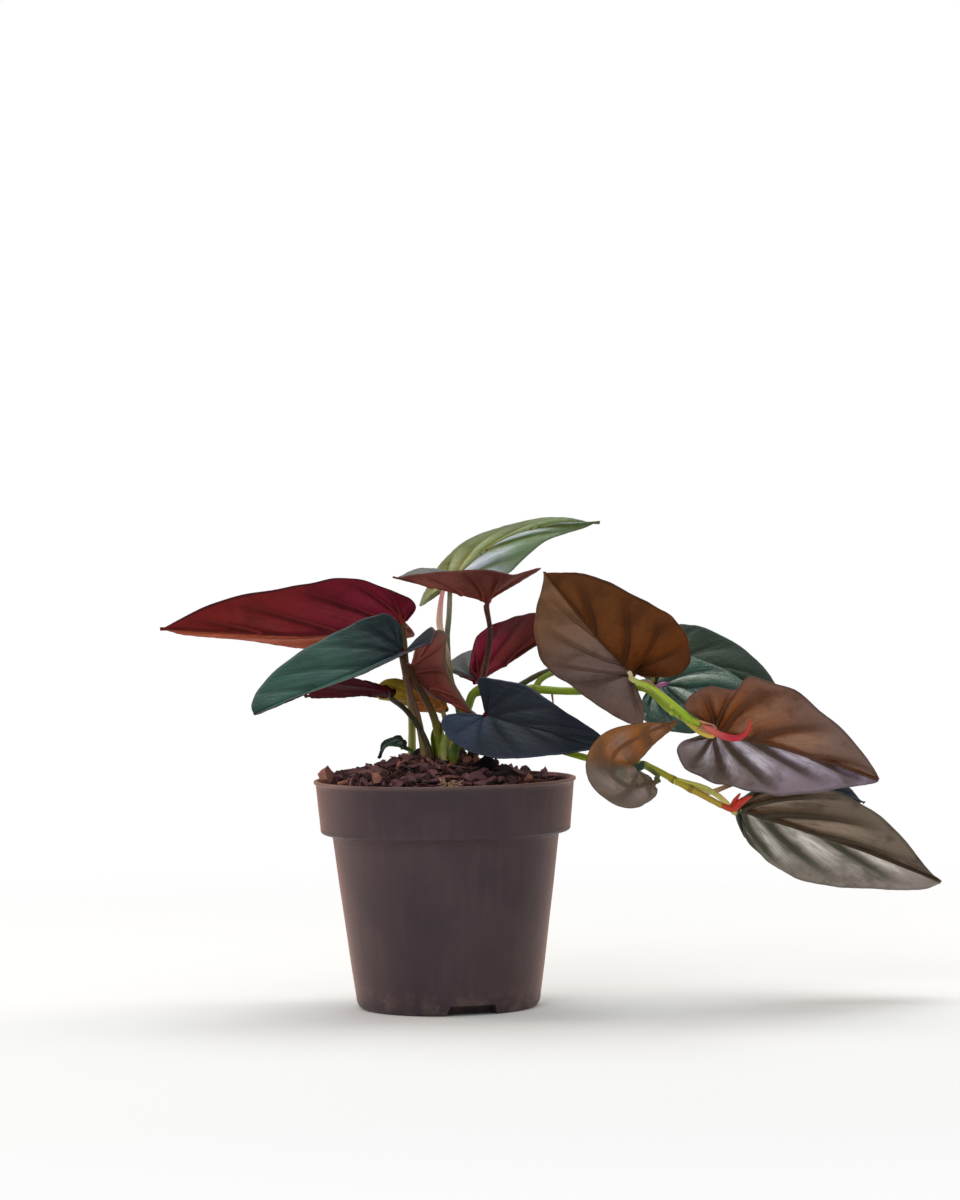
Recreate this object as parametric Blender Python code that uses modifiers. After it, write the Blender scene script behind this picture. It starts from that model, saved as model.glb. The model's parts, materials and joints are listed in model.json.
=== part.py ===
"""A potted syngonium: a round nursery pot, its soil, two trailing stems, leaf stalks, leaves and new shoots.

The scene is in metres with +Z up. The origin is the middle of the pot's base and the front faces -Y.
The sizes below are in millimetres, and turn into metres where a mesh is made.
"""
import math
import random
from collections import namedtuple

import bmesh
import bpy
import numpy as np
from mathutils import Euler, Matrix, Vector, noise

MM = 0.001
GAP = 0.3
MERGE = 0.00001

# The pot
RIM_RADIUS = 60.0
POT_HEIGHT = 105.0
BASE_RADIUS = 39.4
COLLAR_DROP = 24.6
COLLAR_STEP = 4.8
COLLAR_TAPER = 2.6
LIP_SLOPE = 2.0
WALL = 1.2
POT_STEPS = 48
SHARP_ANGLE = 35.0
CUT_PAST = 3.0

# The raised recesses round the edge of the base, each with a round hole through its roof
DRAINS = 3
DRAIN_TURN = -74.0
DRAIN_WIDTH = 26.0
DRAIN_NARROW = 2.5
DRAIN_HEIGHT = 4.6
DRAIN_DEPTH = 8.0
DRAIN_HOLE = 2.4
DRAIN_HOLE_IN = 4.0
HOLE_STEPS = 12

# The soil
SOIL_GAP = 0.5
SOIL_EDGE = 100.5
SOIL_MOUND = 14.5
SOIL_MIDDLE = (-6.0, 0.0)
SOIL_SPREAD = 40.0
SOIL_LUMP = 1.8
LUMP_RATE = 0.16
SOIL_RINGS = (0, 7, 14, 21, 28, 35, 42, 49, 54)
SOIL_STEPS = 32
SOIL_FOOT_RADIUS = 28.5
SOIL_FOOT_HEIGHT = 7.6
SOIL_RAISE = 2.0

# Bark pieces that stand out of the soil: middle, size, turn about the upright and tilt.
BARK = (
    ((-40, -8), (17, 8, 3), 20, 14), ((-46, 6), (12, 7, 3), 70, -10), ((-33, -16), (13, 6, 3), -30, 12),
    ((-49, -12), (8, 6, 3), 85, 25), ((24, -26), (10, 6, 3), 40, 10), ((38, -12), (12, 6, 2.5), -15, 8),
    ((30, 24), (14, 7, 3), 60, -8), ((-22, 34), (13, 7, 3), 10, 10), ((6, 42), (12, 6, 3), -40, 8),
    ((44, 14), (10, 6, 3), 30, -12), ((-14, -38), (11, 6, 3), 5, 10), ((16, -42), (9, 6, 2.5), -60, 8),
)

# The scatter of smaller chips: how many, how far out, how clear of a stalk, and their size.
CHIPS = 30
CHIP_REACH = 52.0
CHIP_CLEAR = 7.5
CHIP_LENGTH = (4.0, 8.0)
CHIP_WIDTH = (2.5, 4.5)
CHIP_THICKNESS = (1.8, 2.8)
CHIP_TILT = 18.0
CHIP_ROUGH = 0.16

# Leaves and stalks
BLADE = 0.8
BLADE_ROWS = 12
BLADE_COLUMNS = 6
VEIN_BEND = 1.3
WAVES = 3.0
WAVE_SHIFT = 0.15
STALK_DEPTH = 12.0
HOLE_GAP = 0.4
HOLE_PAST = 9.0
STALK_LIFT = 2.5
STALK_SEAT = 2.5
STALK_CLEAR = 0.5
SINUS_CLEAR = 3.6
SHOOT_CLEAR = 0.6
STALK_SPACING = 6.5

# Half of a leaf as parts of its length and half width: the edge point of each side vein (along, across) and
# the place on the midrib where that vein starts. The first ones sweep back round the lobe beside the stalk.
LEAF_OUTLINE = (
    (-0.05, 0.09, 0.00), (-0.15, 0.27, 0.00), (-0.20, 0.50, 0.00), (-0.14, 0.76, 0.00), (0.00, 0.94, 0.00),
    (0.15, 1.00, 0.02), (0.32, 0.95, 0.10), (0.50, 0.77, 0.25), (0.68, 0.50, 0.43), (0.84, 0.23, 0.65),
    (0.94, 0.07, 0.85), (1.00, 0.00, 1.00),
)

# The same for a leaf whose blade runs straight into its stalk, with no lobes.
OVAL_OUTLINE = (
    (0.005, 0.08, 0.00), (0.02, 0.26, 0.00), (0.05, 0.46, 0.00), (0.10, 0.67, 0.00), (0.18, 0.86, 0.02),
    (0.29, 0.98, 0.07), (0.42, 0.98, 0.16), (0.56, 0.83, 0.29), (0.71, 0.57, 0.46), (0.85, 0.28, 0.66),
    (0.94, 0.09, 0.85), (1.00, 0.00, 1.00),
)

# The same for a leaf that is broad at its base and soon narrows.
HOOD_OUTLINE = (
    (-0.05, 0.09, 0.00), (-0.15, 0.27, 0.00), (-0.20, 0.50, 0.00), (-0.14, 0.76, 0.00), (0.00, 0.94, 0.00),
    (0.15, 1.00, 0.02), (0.32, 0.78, 0.10), (0.50, 0.52, 0.25), (0.68, 0.33, 0.43), (0.84, 0.18, 0.65),
    (0.94, 0.07, 0.85), (1.00, 0.00, 1.00),
)

# midrib: points from the base to the tip.
# face: the way the upper side looks, at the base and at the tip.
# half: half widths of the left and right side, seen from above with the tip ahead.
# fold: how far each side rises off the flat, in degrees. curl: more rise at the margin, in degrees.
# lobes: length of each lobe against the outline. lift: rise of the lobes above the blade.
# blunt: how full the tip is, from 0. wave: height of the waves at the margin.
# seat: whether the stalk meets the base from under the blade or over it, between the lobes.
Leaf = namedtuple("Leaf", "midrib face half fold colour outline curl lobes lift blunt wave seat",
                  defaults=(LEAF_OUTLINE, (0, 0), (1, 1), 0.0, 0.0, 1.0, "under"))

LEAVES = {
    "leaf_far_left": Leaf(
        ((-18, 10, 176), (-61, 14, 169), (-100, 17, 171), (-131, 18, 176)),
        ((0, 0.7, 0.7), (0, 0.7, 0.7)), (24, 27), (40, 40), "crimson", lobes=(0.4, 0.8)),
    "leaf_left_front": Leaf(
        ((-18, -8, 164), (-46, -30, 153), (-71, -46, 144), (-84, -56, 139)),
        ((0, -0.6, 0.8), (0, -0.6, 0.8)), (25, 22), (40, 30), "green", lobes=(0.5, 0.4), lift=0.5,
        blunt=0.6),
    "leaf_left_low": Leaf(
        ((-23, -2, 146), (-44, 28, 143), (-66, 55, 142)),
        ((0, 0.5, 0.85), (0, 0.5, 0.85)), (18, 12), (12, 12), "crimson", lobes=(0.4, 0.1)),
    "leaf_centre": Leaf(
        ((-15, 4, 156), (-9, 2, 150), (1, -3, 142), (18.5, -10, 132)),
        ((0, 1, 0), (0.4, 0.4, 0.7)), (11, 25), (50, 0), "crimson", HOOD_OUTLINE, curl=(0, -40),
        lobes=(0.1, 0.6)),
    "leaf_top": Leaf(
        ((2, 45, 193), (12, 47, 202), (25, 50, 212), (47, 54, 220), (75, 55, 222)),
        ((-0.2, -0.65, 0.75), (0, -0.65, 0.75)), (17, 18), (-12, -12), "light_green", lobes=(0.9, 0.2)),
    "leaf_upper_front": Leaf(
        ((21, -5, 187), (0, -24, 193), (-21, -45, 199)),
        ((0.1, 0.16, 0.98), (0.1, 0.16, 0.98)), (19, 21), (34, 38), "crimson", lobes=(1.7, 0.8), lift=0.5,
        wave=0.3),
    "leaf_back_red": Leaf(
        ((15, 25, 149), (36, 49, 160), (65, 78, 178)),
        ((-0.6, 0.5, 0.4), (-0.6, 0.5, 0.4)), (20, 26), (85, 5), "crimson", lobes=(0.1, 0.5)),
    "leaf_brown_high": Leaf(
        ((86, -20, 153), (67, -50, 174), (46, -85, 201)),
        ((-0.1, 0.55, 0.83), (-0.1, 0.55, 0.83)), (32, 29), (12, 10), "brown", lobes=(1.0, 2.15), blunt=0.25),
    "leaf_slate_front": Leaf(
        ((19, -18, 135), (39, -31, 129.5), (59, -46, 125.5), (75, -57, 123)),
        ((0, -0.75, 0.66), (0, -0.75, 0.66)), (23, 25), (7, 7), "slate", lobes=(0.8, 0.95), blunt=0.1),
    "leaf_curled": Leaf(
        ((93.5, -46, 104.5), (82.5, -52, 103.5), (72.5, -58, 111), (74, -60, 121), (86.5, -54, 127.5),
         (105, -44, 132)),
        ((0.2, 0.85, 0.4), (0.1, 0.85, 0.4)), (11, 14), (10, 10), "brown", lobes=(0.4, 0.5), seat="over"),
    "leaf_right_back": Leaf(
        ((107, 56, 155), (136, 58, 148), (164, 56, 131)),
        ((0, -0.6, 0.8), (0, -0.6, 0.8)), (25, 24), (10, 10), "green"),
    "leaf_right_glossy": Leaf(
        ((99, 31, 146), (130, 29, 140), (155, 22, 122)),
        ((0, -0.6, 0.8), (0, -0.6, 0.8)), (19, 27), (10, -10), "green", lobes=(1, 0.4), blunt=0.2),
    "leaf_purple_right": Leaf(
        ((123, -27, 126), (155, -32, 118), (196, -42, 104)),
        ((0.1, 0.9, 0.4), (0.1, 0.9, 0.4)), (28, 29), (8, 8), "brown", blunt=0.25),
    "leaf_bottom_right": Leaf(
        ((133, -6, 90), (182, -2, 73), (228, 2, 54)),
        ((0.1, 0.75, 0.65), (0.1, 0.75, 0.65)), (40, 28), (8, 8), "brown", OVAL_OUTLINE, blunt=0.3),
    "leaf_hidden_purple": Leaf(
        ((143, 20, 105), (170, 20, 98), (196, 20, 90)),
        ((0, -0.3, 0.95), (0, -0.3, 0.95)), (18, 18), (10, 10), "crimson"),
    "leaf_small_curled": Leaf(
        ((-18, 0, 122), (-22, -6, 124), (-27, -12, 122), (-30, -16, 116)),
        ((-0.1, -0.9, 0.4), (-0.5, -0.8, 0.3)), (6, 1.5), (10, 10), "green", OVAL_OUTLINE),
    "leaf_young": Leaf(
        ((2, 19, 136), (-12, 22, 141.5), (-27, 23, 145)),
        ((0.2, 0.7, 0.6), (0.2, 0.7, 0.6)), (8, 8), (15, 15), "light_green", OVAL_OUTLINE, blunt=0.6),
}

# A stalk: its foot in the soil, the points it passes on the way to its leaf, and its radius at foot and leaf.
Stalk = namedtuple("Stalk", "leaf foot route radius")

STALKS = {
    "stalk_far_left": Stalk("leaf_far_left", (-15, 8), ((-15, 13, 135), (-17, 14, 155)), (1.9, 1.3)),
    "stalk_left_front": Stalk("leaf_left_front", (-9, -6), ((-12, -6, 134), (-16, -6, 148)), (2.2, 1.4)),
    "stalk_left_low": Stalk("leaf_left_low", (-6, -14), ((-10, -12, 127), (-17, -9, 137)), (1.5, 1.1)),
    "stalk_centre": Stalk("leaf_centre", (-2, -6), ((-4, -3, 132), (-10, 0, 145)), (2.8, 1.2)),
    "stalk_young": Stalk("leaf_young", (2, 11), ((2, 14, 126),), (1.2, 0.9)),
    "stalk_top": Stalk(
        "leaf_top", (8, 14), ((7, 17, 135), (3, 22, 152), (2, 31, 168), (3, 37, 179)), (1.8, 1.1)),
    "stalk_slate_front": Stalk("leaf_slate_front", (12, -8), ((14, -12, 123),), (1.8, 1.3)),
    "stalk_small_curled": Stalk("leaf_small_curled", (-15, -2), ((-15, -1, 118),), (1.0, 0.7)),
}

# A young sheath that stands in the soil among the stalks, with its radius at the foot, middle and tip.
Sheath = namedtuple("Sheath", "foot route radius")

SHEATHS = {
    "sheath_dark": Sheath((6.5, -14), ((7, -13, 124),), (2.6, 2.9, 0.8)),
    "sheath_pale": Sheath((0, -13.5), ((0.5, -12.5, 123), (1.5, -11.5, 128)), (1.9, 1.9, 0.6)),
}

# A trailing stem: its foot, its own route, the radius at both ends, and its side branches. A branch starts
# inside the stem and ends at a leaf.
Vine = namedtuple("Vine", "foot route radius branches")
Branch = namedtuple("Branch", "leaf route radius")

VINES = {
    "stem_upper": Vine(
        (4, 2), ((11, 4, 137), (17, 6, 145), (40, 8, 145), (56, 5, 144), (72, 3, 144), (92, -4, 145),
                 (104, -18, 135), (116, -33, 130)), (2.2, 1.6),
        (Branch("leaf_upper_front", ((17, 6, 145), (20, 1, 158), (22, -3, 172)), (1.4, 1.1)),
         Branch("leaf_back_red", ((10, 4, 134), (12, 14, 140)), (1.5, 1.1)),
         Branch("leaf_brown_high", ((112, -28, 131.5), (104, -27, 139), (95, -24, 146)), (1.7, 1.4)),
         Branch("leaf_right_back", ((32, 7.5, 145), (49, 18, 153), (78, 40, 158)), (1.3, 1.1)),
         Branch("leaf_right_glossy", ((42, 8, 145), (50, 11, 152), (74, 22, 156)), (1.3, 1.1)),
         Branch("leaf_purple_right", ((109, -24, 133), (115, -29, 127), (120, -31.5, 124.5)), (1.5, 1.2)))),
    "stem_lower": Vine(
        (14, 2), ((18, 1, 126), (28, 0, 126), (46, -6, 120), (62, -14, 115), (76, -20, 112), (91, -24, 111),
                  (108, -25, 102), (126, -26, 92)), (1.7, 1.4),
        (Branch("leaf_curled", ((91, -24, 111), (94, -33, 109), (96.5, -38.5, 107)), (1.2, 0.8)),
         Branch("leaf_bottom_right", ((104, -25, 104), (118, -22, 100), (127, -14, 94)), (1.4, 1.2)),
         Branch("leaf_hidden_purple", ((112, -25.3, 100), (121, -9, 97), (134, 8, 100)), (1.3, 1.0)))),
}

# New growth: a rolled young leaf as a tapered tube, with its radius at the start, middle and end. The first
# two go on from the tip of a trailing stem.
Shoot = namedtuple("Shoot", "stem route radius")

SHOOTS = {
    "shoot_upper": Shoot(
        "stem_upper", ((128, -39, 123.5), (136, -38.5, 122), (141, -37, 127)), (1.5, 1.3, 0.5)),
    "shoot_lower": Shoot("stem_lower", ((132, -26, 90.5), (138, -26, 92.5)), (1.3, 1.6, 0.5)),
    "bud_upper": Shoot(None, ((97.3, -9.2, 144.2), (99.5, -10, 146.5), (103, -11, 148.5)), (1.2, 1.0, 0.4)),
}

COLOURS = {
    "pot": ((0.072, 0.048, 0.050), 0.42),
    "soil": ((0.030, 0.016, 0.012), 0.95),
    "green": ((0.035, 0.075, 0.045), 0.45),
    "light_green": ((0.13, 0.22, 0.07), 0.45),
    "crimson": ((0.13, 0.018, 0.022), 0.50),
    "brown": ((0.13, 0.055, 0.028), 0.50),
    "slate": ((0.022, 0.035, 0.045), 0.40),
    "stem": ((0.27, 0.36, 0.06), 0.50),
    "red": ((0.55, 0.06, 0.05), 0.45),
}


def clear_scene():
    for item in list(bpy.data.objects):
        bpy.data.objects.remove(item, do_unlink=True)
    for collection in list(bpy.data.collections):
        bpy.data.collections.remove(collection)


def make_collection(name):
    collection = bpy.data.collections.new(name)
    bpy.context.scene.collection.children.link(collection)
    return collection


def make_material(name):
    colour, roughness = COLOURS[name]
    material = bpy.data.materials.new(name)
    material.use_nodes = True
    shader = material.node_tree.nodes["Principled BSDF"]
    shader.inputs["Base Color"].default_value = (*colour, 1.0)
    shader.inputs["Roughness"].default_value = roughness
    shader.inputs["Metallic"].default_value = 0.0
    material.diffuse_color = (*colour, 1.0)
    return material


def add_object(name, mesh, collection, material=None):
    item = bpy.data.objects.new(name, mesh)
    collection.objects.link(item)
    if material:
        mesh.materials.clear()
        mesh.materials.append(MATERIALS[material])
    return item


def mesh_from(shape, name):
    mesh = bpy.data.meshes.new(name)
    shape.to_mesh(mesh)
    shape.free()
    return mesh


def apply_modifiers(item):
    """Gives the object the mesh that its modifiers make."""
    evaluated = item.evaluated_get(bpy.context.evaluated_depsgraph_get())
    old = item.data
    made = bpy.data.meshes.new_from_object(evaluated)
    made.name = old.name
    item.modifiers.clear()
    item.data = made
    if old.users == 0:
        bpy.data.meshes.remove(old)


def boolean(item, operation, collection):
    """Cuts the object with, or joins it to, every object of the collection, and removes them."""
    modifier = item.modifiers.new("Boolean", "BOOLEAN")
    modifier.operation = operation
    modifier.operand_type = "COLLECTION"
    modifier.collection = collection
    modifier.solver = "EXACT"
    bpy.context.view_layer.update()
    apply_modifiers(item)
    for other in list(collection.objects):
        bpy.data.objects.remove(other, do_unlink=True)
    bpy.data.collections.remove(collection)


def cutters(name):
    """A collection inside the cutters' one."""
    collection = bpy.data.collections.new(name)
    CUTTERS.children.link(collection)
    return collection


def add_cutter(name, mesh, collection):
    item = add_object(name, mesh, collection)
    item.hide_render = True
    item.display_type = "WIRE"
    return item


def spline(points, at):
    """Points on the smooth curve through the given ones. at runs from 0 at the first to 1 at the last."""
    p = np.array(points, float)
    p = np.vstack([2 * p[0] - p[1], p, 2 * p[-1] - p[-2]])
    place = np.asarray(at, float) * (len(p) - 3)
    i = np.minimum(place.astype(int), len(p) - 4)
    t = (place - i)[:, None]
    a, b, c, d = p[i], p[i + 1], p[i + 2], p[i + 3]
    return b + 0.5 * t * (c - a + t * (2 * a - 5 * b + 4 * c - d + t * (3 * (b - c) + d - a)))


def even_route(points, count):
    """The smooth curve through the points as evenly spaced ones, with its length."""
    fine = spline(points, np.linspace(0, 1, 20 * len(points)))
    run = np.concatenate([[0.0], np.cumsum(np.linalg.norm(np.diff(fine, axis=0), axis=1))])
    at = np.linspace(0, run[-1], count)
    return np.stack([np.interp(at, run, fine[:, k]) for k in range(3)], axis=1), run[-1]


def unit(vectors):
    return vectors / np.linalg.norm(vectors, axis=-1, keepdims=True)


def midrib_frame(leaf, at):
    """Places on the midrib, the way along it and the way the upper side looks, for parts of its length."""
    route, length = even_route(leaf.midrib, 60)
    marks = np.linspace(0, 1, len(route))
    slope = np.gradient(route, axis=0)
    place = np.stack([np.interp(at, marks, route[:, k]) for k in range(3)], axis=-1)
    ahead = unit(np.stack([np.interp(at, marks, slope[:, k]) for k in range(3)], axis=-1))
    base, tip = np.array(leaf.face[0], float), np.array(leaf.face[1], float)
    face = base + (tip - base) * np.asarray(at)[..., None]
    face = unit(face - ahead * np.sum(face * ahead, axis=-1, keepdims=True))
    return place, ahead, face, length


def blade_points(leaf, rows, columns):
    """The upper side of a blade as rows of points, one row for each side vein."""
    row = np.linspace(0, 1, rows + 1)
    along, across, start = spline(leaf.outline, row).T[:, :, None]
    across = np.where(start > 0, np.abs(across) ** (1 - leaf.blunt), across)
    t = np.linspace(-1, 1, columns + 1)[None, :]
    side = np.sign(t)
    x = start + (along - start) * np.abs(t) ** VEIN_BEND
    half = np.where(t < 0, leaf.half[0], leaf.half[1])
    y = half * across * np.abs(t)
    place, ahead, face, length = midrib_frame(leaf, np.clip(x, 0, 1))
    back = np.minimum(x, 0) * length * np.where(t < 0, leaf.lobes[0], leaf.lobes[1])
    place = place + ahead * back[..., None] - face * (back * leaf.lift)[..., None]
    fold = np.radians(np.where(t < 0, leaf.fold[0], leaf.fold[1]))
    curl = np.radians(np.where(t < 0, leaf.curl[0], leaf.curl[1])) / half
    curl = np.where(np.abs(curl) < 1e-5, 1e-5, curl)
    run = (np.sin(fold + curl * y) - np.sin(fold)) / curl
    rise = (np.cos(fold) - np.cos(fold + curl * y)) / curl
    rise = rise + leaf.wave * np.sin(2 * math.pi * (WAVES * row[:, None] + WAVE_SHIFT * side)) * t ** 2
    sideways = np.cross(ahead, face)
    return place + sideways * (side * run)[..., None] + face * rise[..., None]


def make_blade(name, leaf):
    """One leaf blade: a grid laid over the leaf's surface, split into triangles and given its thickness."""
    points = blade_points(leaf, BLADE_ROWS, BLADE_COLUMNS)
    shape = bmesh.new()
    bmesh.ops.create_grid(shape, x_segments=BLADE_COLUMNS, y_segments=BLADE_ROWS, size=1.0)
    for vert, place in zip(shape.verts, points.reshape(-1, 3)):
        vert.co = Vector(place) * MM
    bmesh.ops.remove_doubles(shape, verts=shape.verts, dist=MERGE)
    bmesh.ops.triangulate(shape, faces=shape.faces)
    blade = add_object(name, mesh_from(shape, name), PLANT, leaf.colour)
    blade.data.shade_smooth()
    thicken = blade.modifiers.new("Thickness", "SOLIDIFY")
    thicken.thickness = BLADE * MM
    thicken.offset = -1.0
    split = blade.modifiers.new("Triangles", "TRIANGULATE")
    split.min_vertices = 4
    return blade


def leaf_seat(name):
    """The point close to a leaf's base that its stalk comes through, and the one where it ends."""
    leaf = LEAVES[name]
    place, ahead, face, _ = midrib_frame(leaf, np.array([0.0]))
    if leaf.seat == "over":
        end = place[0] - ahead[0] * SINUS_CLEAR
        return end + face[0] * STALK_SEAT, end
    end = place[0] - face[0] * (BLADE + STALK_CLEAR)
    return end - face[0] * STALK_SEAT, end


def tube(name, route, radii, collection, material=None):
    """A round tube through the points, as a mesh with welded caps."""
    curve = bpy.data.curves.new(name, "CURVE")
    curve.dimensions = "3D"
    curve.bevel_depth = MM
    curve.bevel_resolution = 2
    curve.use_fill_caps = True
    line = curve.splines.new("POLY")
    line.points.add(len(route) - 1)
    for point, place, radius in zip(line.points, route, radii):
        point.co = (*(Vector(place) * MM), 1.0)
        point.radius = radius
    drawn = bpy.data.objects.new(name, curve)
    collection.objects.link(drawn)
    bpy.context.view_layer.update()
    mesh = bpy.data.meshes.new_from_object(drawn.evaluated_get(bpy.context.evaluated_depsgraph_get()))
    bpy.data.objects.remove(drawn, do_unlink=True)
    bpy.data.curves.remove(curve)
    shape = bmesh.new()
    shape.from_mesh(mesh)
    bmesh.ops.remove_doubles(shape, verts=shape.verts, dist=MERGE)
    shape.to_mesh(mesh)
    shape.free()
    mesh.name = name
    mesh.shade_smooth()
    return add_object(name, mesh, collection, material)


def stalk_route(points, radii, first=(), last=()):
    """A smooth route with a point every few millimetres, and the radius at each one.

    first and last are points that are kept as they are before and after the smooth part, in line with a seat.
    """
    length = even_route(points, 8)[1]
    count = max(4, round(length / STALK_SPACING) + 1)
    places = np.vstack([*first, even_route(points, count)[0], *last])
    run = np.concatenate([[0.0], np.cumsum(np.linalg.norm(np.diff(places, axis=0), axis=1))])
    return places, np.interp(run / run[-1], np.linspace(0, 1, len(radii)), radii)


def soil_height(x, y):
    """The height of the soil at a place: a low mound with small lumps."""
    away = math.hypot(x - SOIL_MIDDLE[0], y - SOIL_MIDDLE[1])
    mound = SOIL_EDGE + SOIL_MOUND * math.exp(-(away / SOIL_SPREAD) ** 2)
    return mound + SOIL_LUMP * noise.noise(Vector((x * LUMP_RATE, y * LUMP_RATE, 3.0)))


def from_soil(foot, route, radius, leaf=None):
    """The route of a stalk from the bottom of its hole to its leaf, with the radius at each point."""
    ground = soil_height(*foot)
    start = (*foot, ground + STALK_LIFT)
    seat = leaf_seat(leaf) if leaf else []
    return stalk_route([start, *route, *seat[:1]], radius, [(*foot, ground - STALK_DEPTH)], seat[1:])


def make_stalk(name, stalk):
    return tube(name, *from_soil(stalk.foot, stalk.route, stalk.radius, stalk.leaf), PLANT, "stem")


def make_vine(name, vine):
    """A trailing stem with its side branches joined to it."""
    stem = tube(name, *from_soil(vine.foot, vine.route, vine.radius), PLANT, "stem")
    branches = cutters(name + "_branches")
    for number, branch in enumerate(vine.branches):
        below, end = leaf_seat(branch.leaf)
        places, radii = stalk_route([*branch.route, below], branch.radius, last=[end])
        tube(f"{name}_branch_{number}", places, radii, branches)
    boolean(stem, "UNION", branches)
    stem.data.shade_smooth()
    return stem


def make_sheath(name, sheath):
    return tube(name, *from_soil(sheath.foot, sheath.route, sheath.radius), PLANT, "stem")


def make_shoot(name, shoot):
    """A shoot, which starts just past the tip of its trailing stem and in line with it."""
    if shoot.stem:
        before, tip = np.array(VINES[shoot.stem].route[-2:], float)
        ahead = unit(tip - before)
        first, start = [tip + ahead * SHOOT_CLEAR], [tip + ahead * (SHOOT_CLEAR + STALK_SEAT)]
    else:
        first, start = [], []
    return tube(name, *stalk_route([*start, *shoot.route], shoot.radius, first), PLANT, "red")


def turned(name, profile, steps, collection, material=None):
    """A closed turned body from a profile of radius and height that runs down its outer side."""
    shape = bmesh.new()
    verts = [shape.verts.new((radius * MM, 0, height * MM)) for radius, height in profile]
    for first, second in zip(verts, verts[1:]):
        shape.edges.new((first, second))
    item = add_object(name, mesh_from(shape, name), collection, material)
    screw = item.modifiers.new("Screw", "SCREW")
    screw.steps = steps
    screw.render_steps = steps
    screw.use_merge_vertices = True
    screw.merge_threshold = MERGE
    bpy.context.view_layer.update()
    apply_modifiers(item)
    item.data.shade_smooth()
    item.data.set_sharp_from_angle(angle=math.radians(SHARP_ANGLE))
    return item


def pot_outside():
    """The pot's outer side from the lip down to the base."""
    step = POT_HEIGHT - COLLAR_DROP
    waist = RIM_RADIUS - COLLAR_TAPER - COLLAR_STEP
    return [(RIM_RADIUS, POT_HEIGHT), (RIM_RADIUS + 0.4, POT_HEIGHT - 0.7),
            (RIM_RADIUS - 0.6, POT_HEIGHT - 1.8), (RIM_RADIUS - COLLAR_TAPER + 0.2, step + 2.1),
            (RIM_RADIUS - COLLAR_TAPER, step + 0.8), (RIM_RADIUS - COLLAR_TAPER - 1.0, step),
            (waist, step - 1.0), (waist - 1.0, step - 2.0),
            (BASE_RADIUS + 2.2, 3.0), (BASE_RADIUS + 1.6, 1.2), (BASE_RADIUS, 0.0), (0.0, 0.0)]


def pot_inside(clear=0.0):
    """The inside of the wall, from the lip down to the floor, or that much clear of it."""
    step = POT_HEIGHT - COLLAR_DROP
    waist = RIM_RADIUS - COLLAR_TAPER - COLLAR_STEP
    return [(RIM_RADIUS - 1.0 - clear, POT_HEIGHT), (RIM_RADIUS - 1.8 - clear, POT_HEIGHT - 1.6),
            (RIM_RADIUS - COLLAR_TAPER - 1.0 - clear, step + 2.4 + clear),
            (RIM_RADIUS - COLLAR_TAPER - 2.0 - clear, step + 1.4 + clear),
            (waist - 1.0 - clear, step + 0.4 + clear), (waist - 2.2 - clear, step - 0.6),
            (BASE_RADIUS + 0.8 - clear, 3.4), (BASE_RADIUS - 0.6 - clear, WALL + clear), (0.0, WALL + clear)]


def drain_turn(number):
    return Matrix.Rotation(math.radians(DRAIN_TURN + number * 360.0 / DRAINS), 4, "Z")


def drain_recess(name, grow, collection):
    """Cutters for the raised recesses, narrower at the roof, grown by the wall for the inside."""
    foot = DRAIN_WIDTH * 0.5 + grow
    for number in range(DRAINS):
        shape = bmesh.new()
        bmesh.ops.create_cube(shape, size=1.0)
        for vert in shape.verts:
            upper = vert.co.z > 0
            x = BASE_RADIUS + DRAIN_DEPTH if vert.co.x > 0 else BASE_RADIUS - DRAIN_DEPTH - grow
            y = math.copysign(foot - DRAIN_NARROW if upper else foot, vert.co.y)
            vert.co = Vector((x, y, DRAIN_HEIGHT + grow if upper else -CUT_PAST)) * MM
        bmesh.ops.transform(shape, matrix=drain_turn(number), verts=shape.verts)
        add_cutter(f"{name}_{number}", mesh_from(shape, name), collection)


def drain_holes(collection):
    """Cutters for the round hole through the roof of each recess."""
    middle = Matrix.Translation(Vector((BASE_RADIUS - DRAIN_HOLE_IN, 0, DRAIN_HEIGHT + WALL * 0.5)) * MM)
    for number in range(DRAINS):
        shape = bmesh.new()
        bmesh.ops.create_cone(shape, cap_ends=True, segments=HOLE_STEPS, radius1=DRAIN_HOLE * MM,
                              radius2=DRAIN_HOLE * MM, depth=2 * CUT_PAST * MM)
        bmesh.ops.transform(shape, matrix=drain_turn(number) @ middle, verts=shape.verts)
        add_cutter(f"hole_{number}", mesh_from(shape, "hole"), collection)


def make_pot():
    """The nursery pot: the outer body less the inner one, each with the drain recesses taken out."""
    top = [(0.0, POT_HEIGHT + CUT_PAST), (RIM_RADIUS - 1.0, POT_HEIGHT + CUT_PAST)]
    hollow = cutters("pot_hollow")
    inside = turned("pot_inside", top + pot_inside(), POT_STEPS, hollow)
    inside.hide_render = True
    inside.display_type = "WIRE"
    recess = cutters("inner_recess")
    drain_recess("inner_recess", WALL, recess)
    boolean(inside, "DIFFERENCE", recess)
    pot = turned("pot", [(0.0, POT_HEIGHT)] + pot_outside(), POT_STEPS, PLANT, "pot")
    recess = cutters("outer_recess")
    drain_recess("outer_recess", 0.0, recess)
    boolean(pot, "DIFFERENCE", recess)
    boolean(pot, "DIFFERENCE", hollow)
    holes = cutters("drain_holes")
    drain_holes(holes)
    boolean(pot, "DIFFERENCE", holes)
    pot.data.set_sharp_from_angle(angle=math.radians(SHARP_ANGLE))
    return pot


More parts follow.
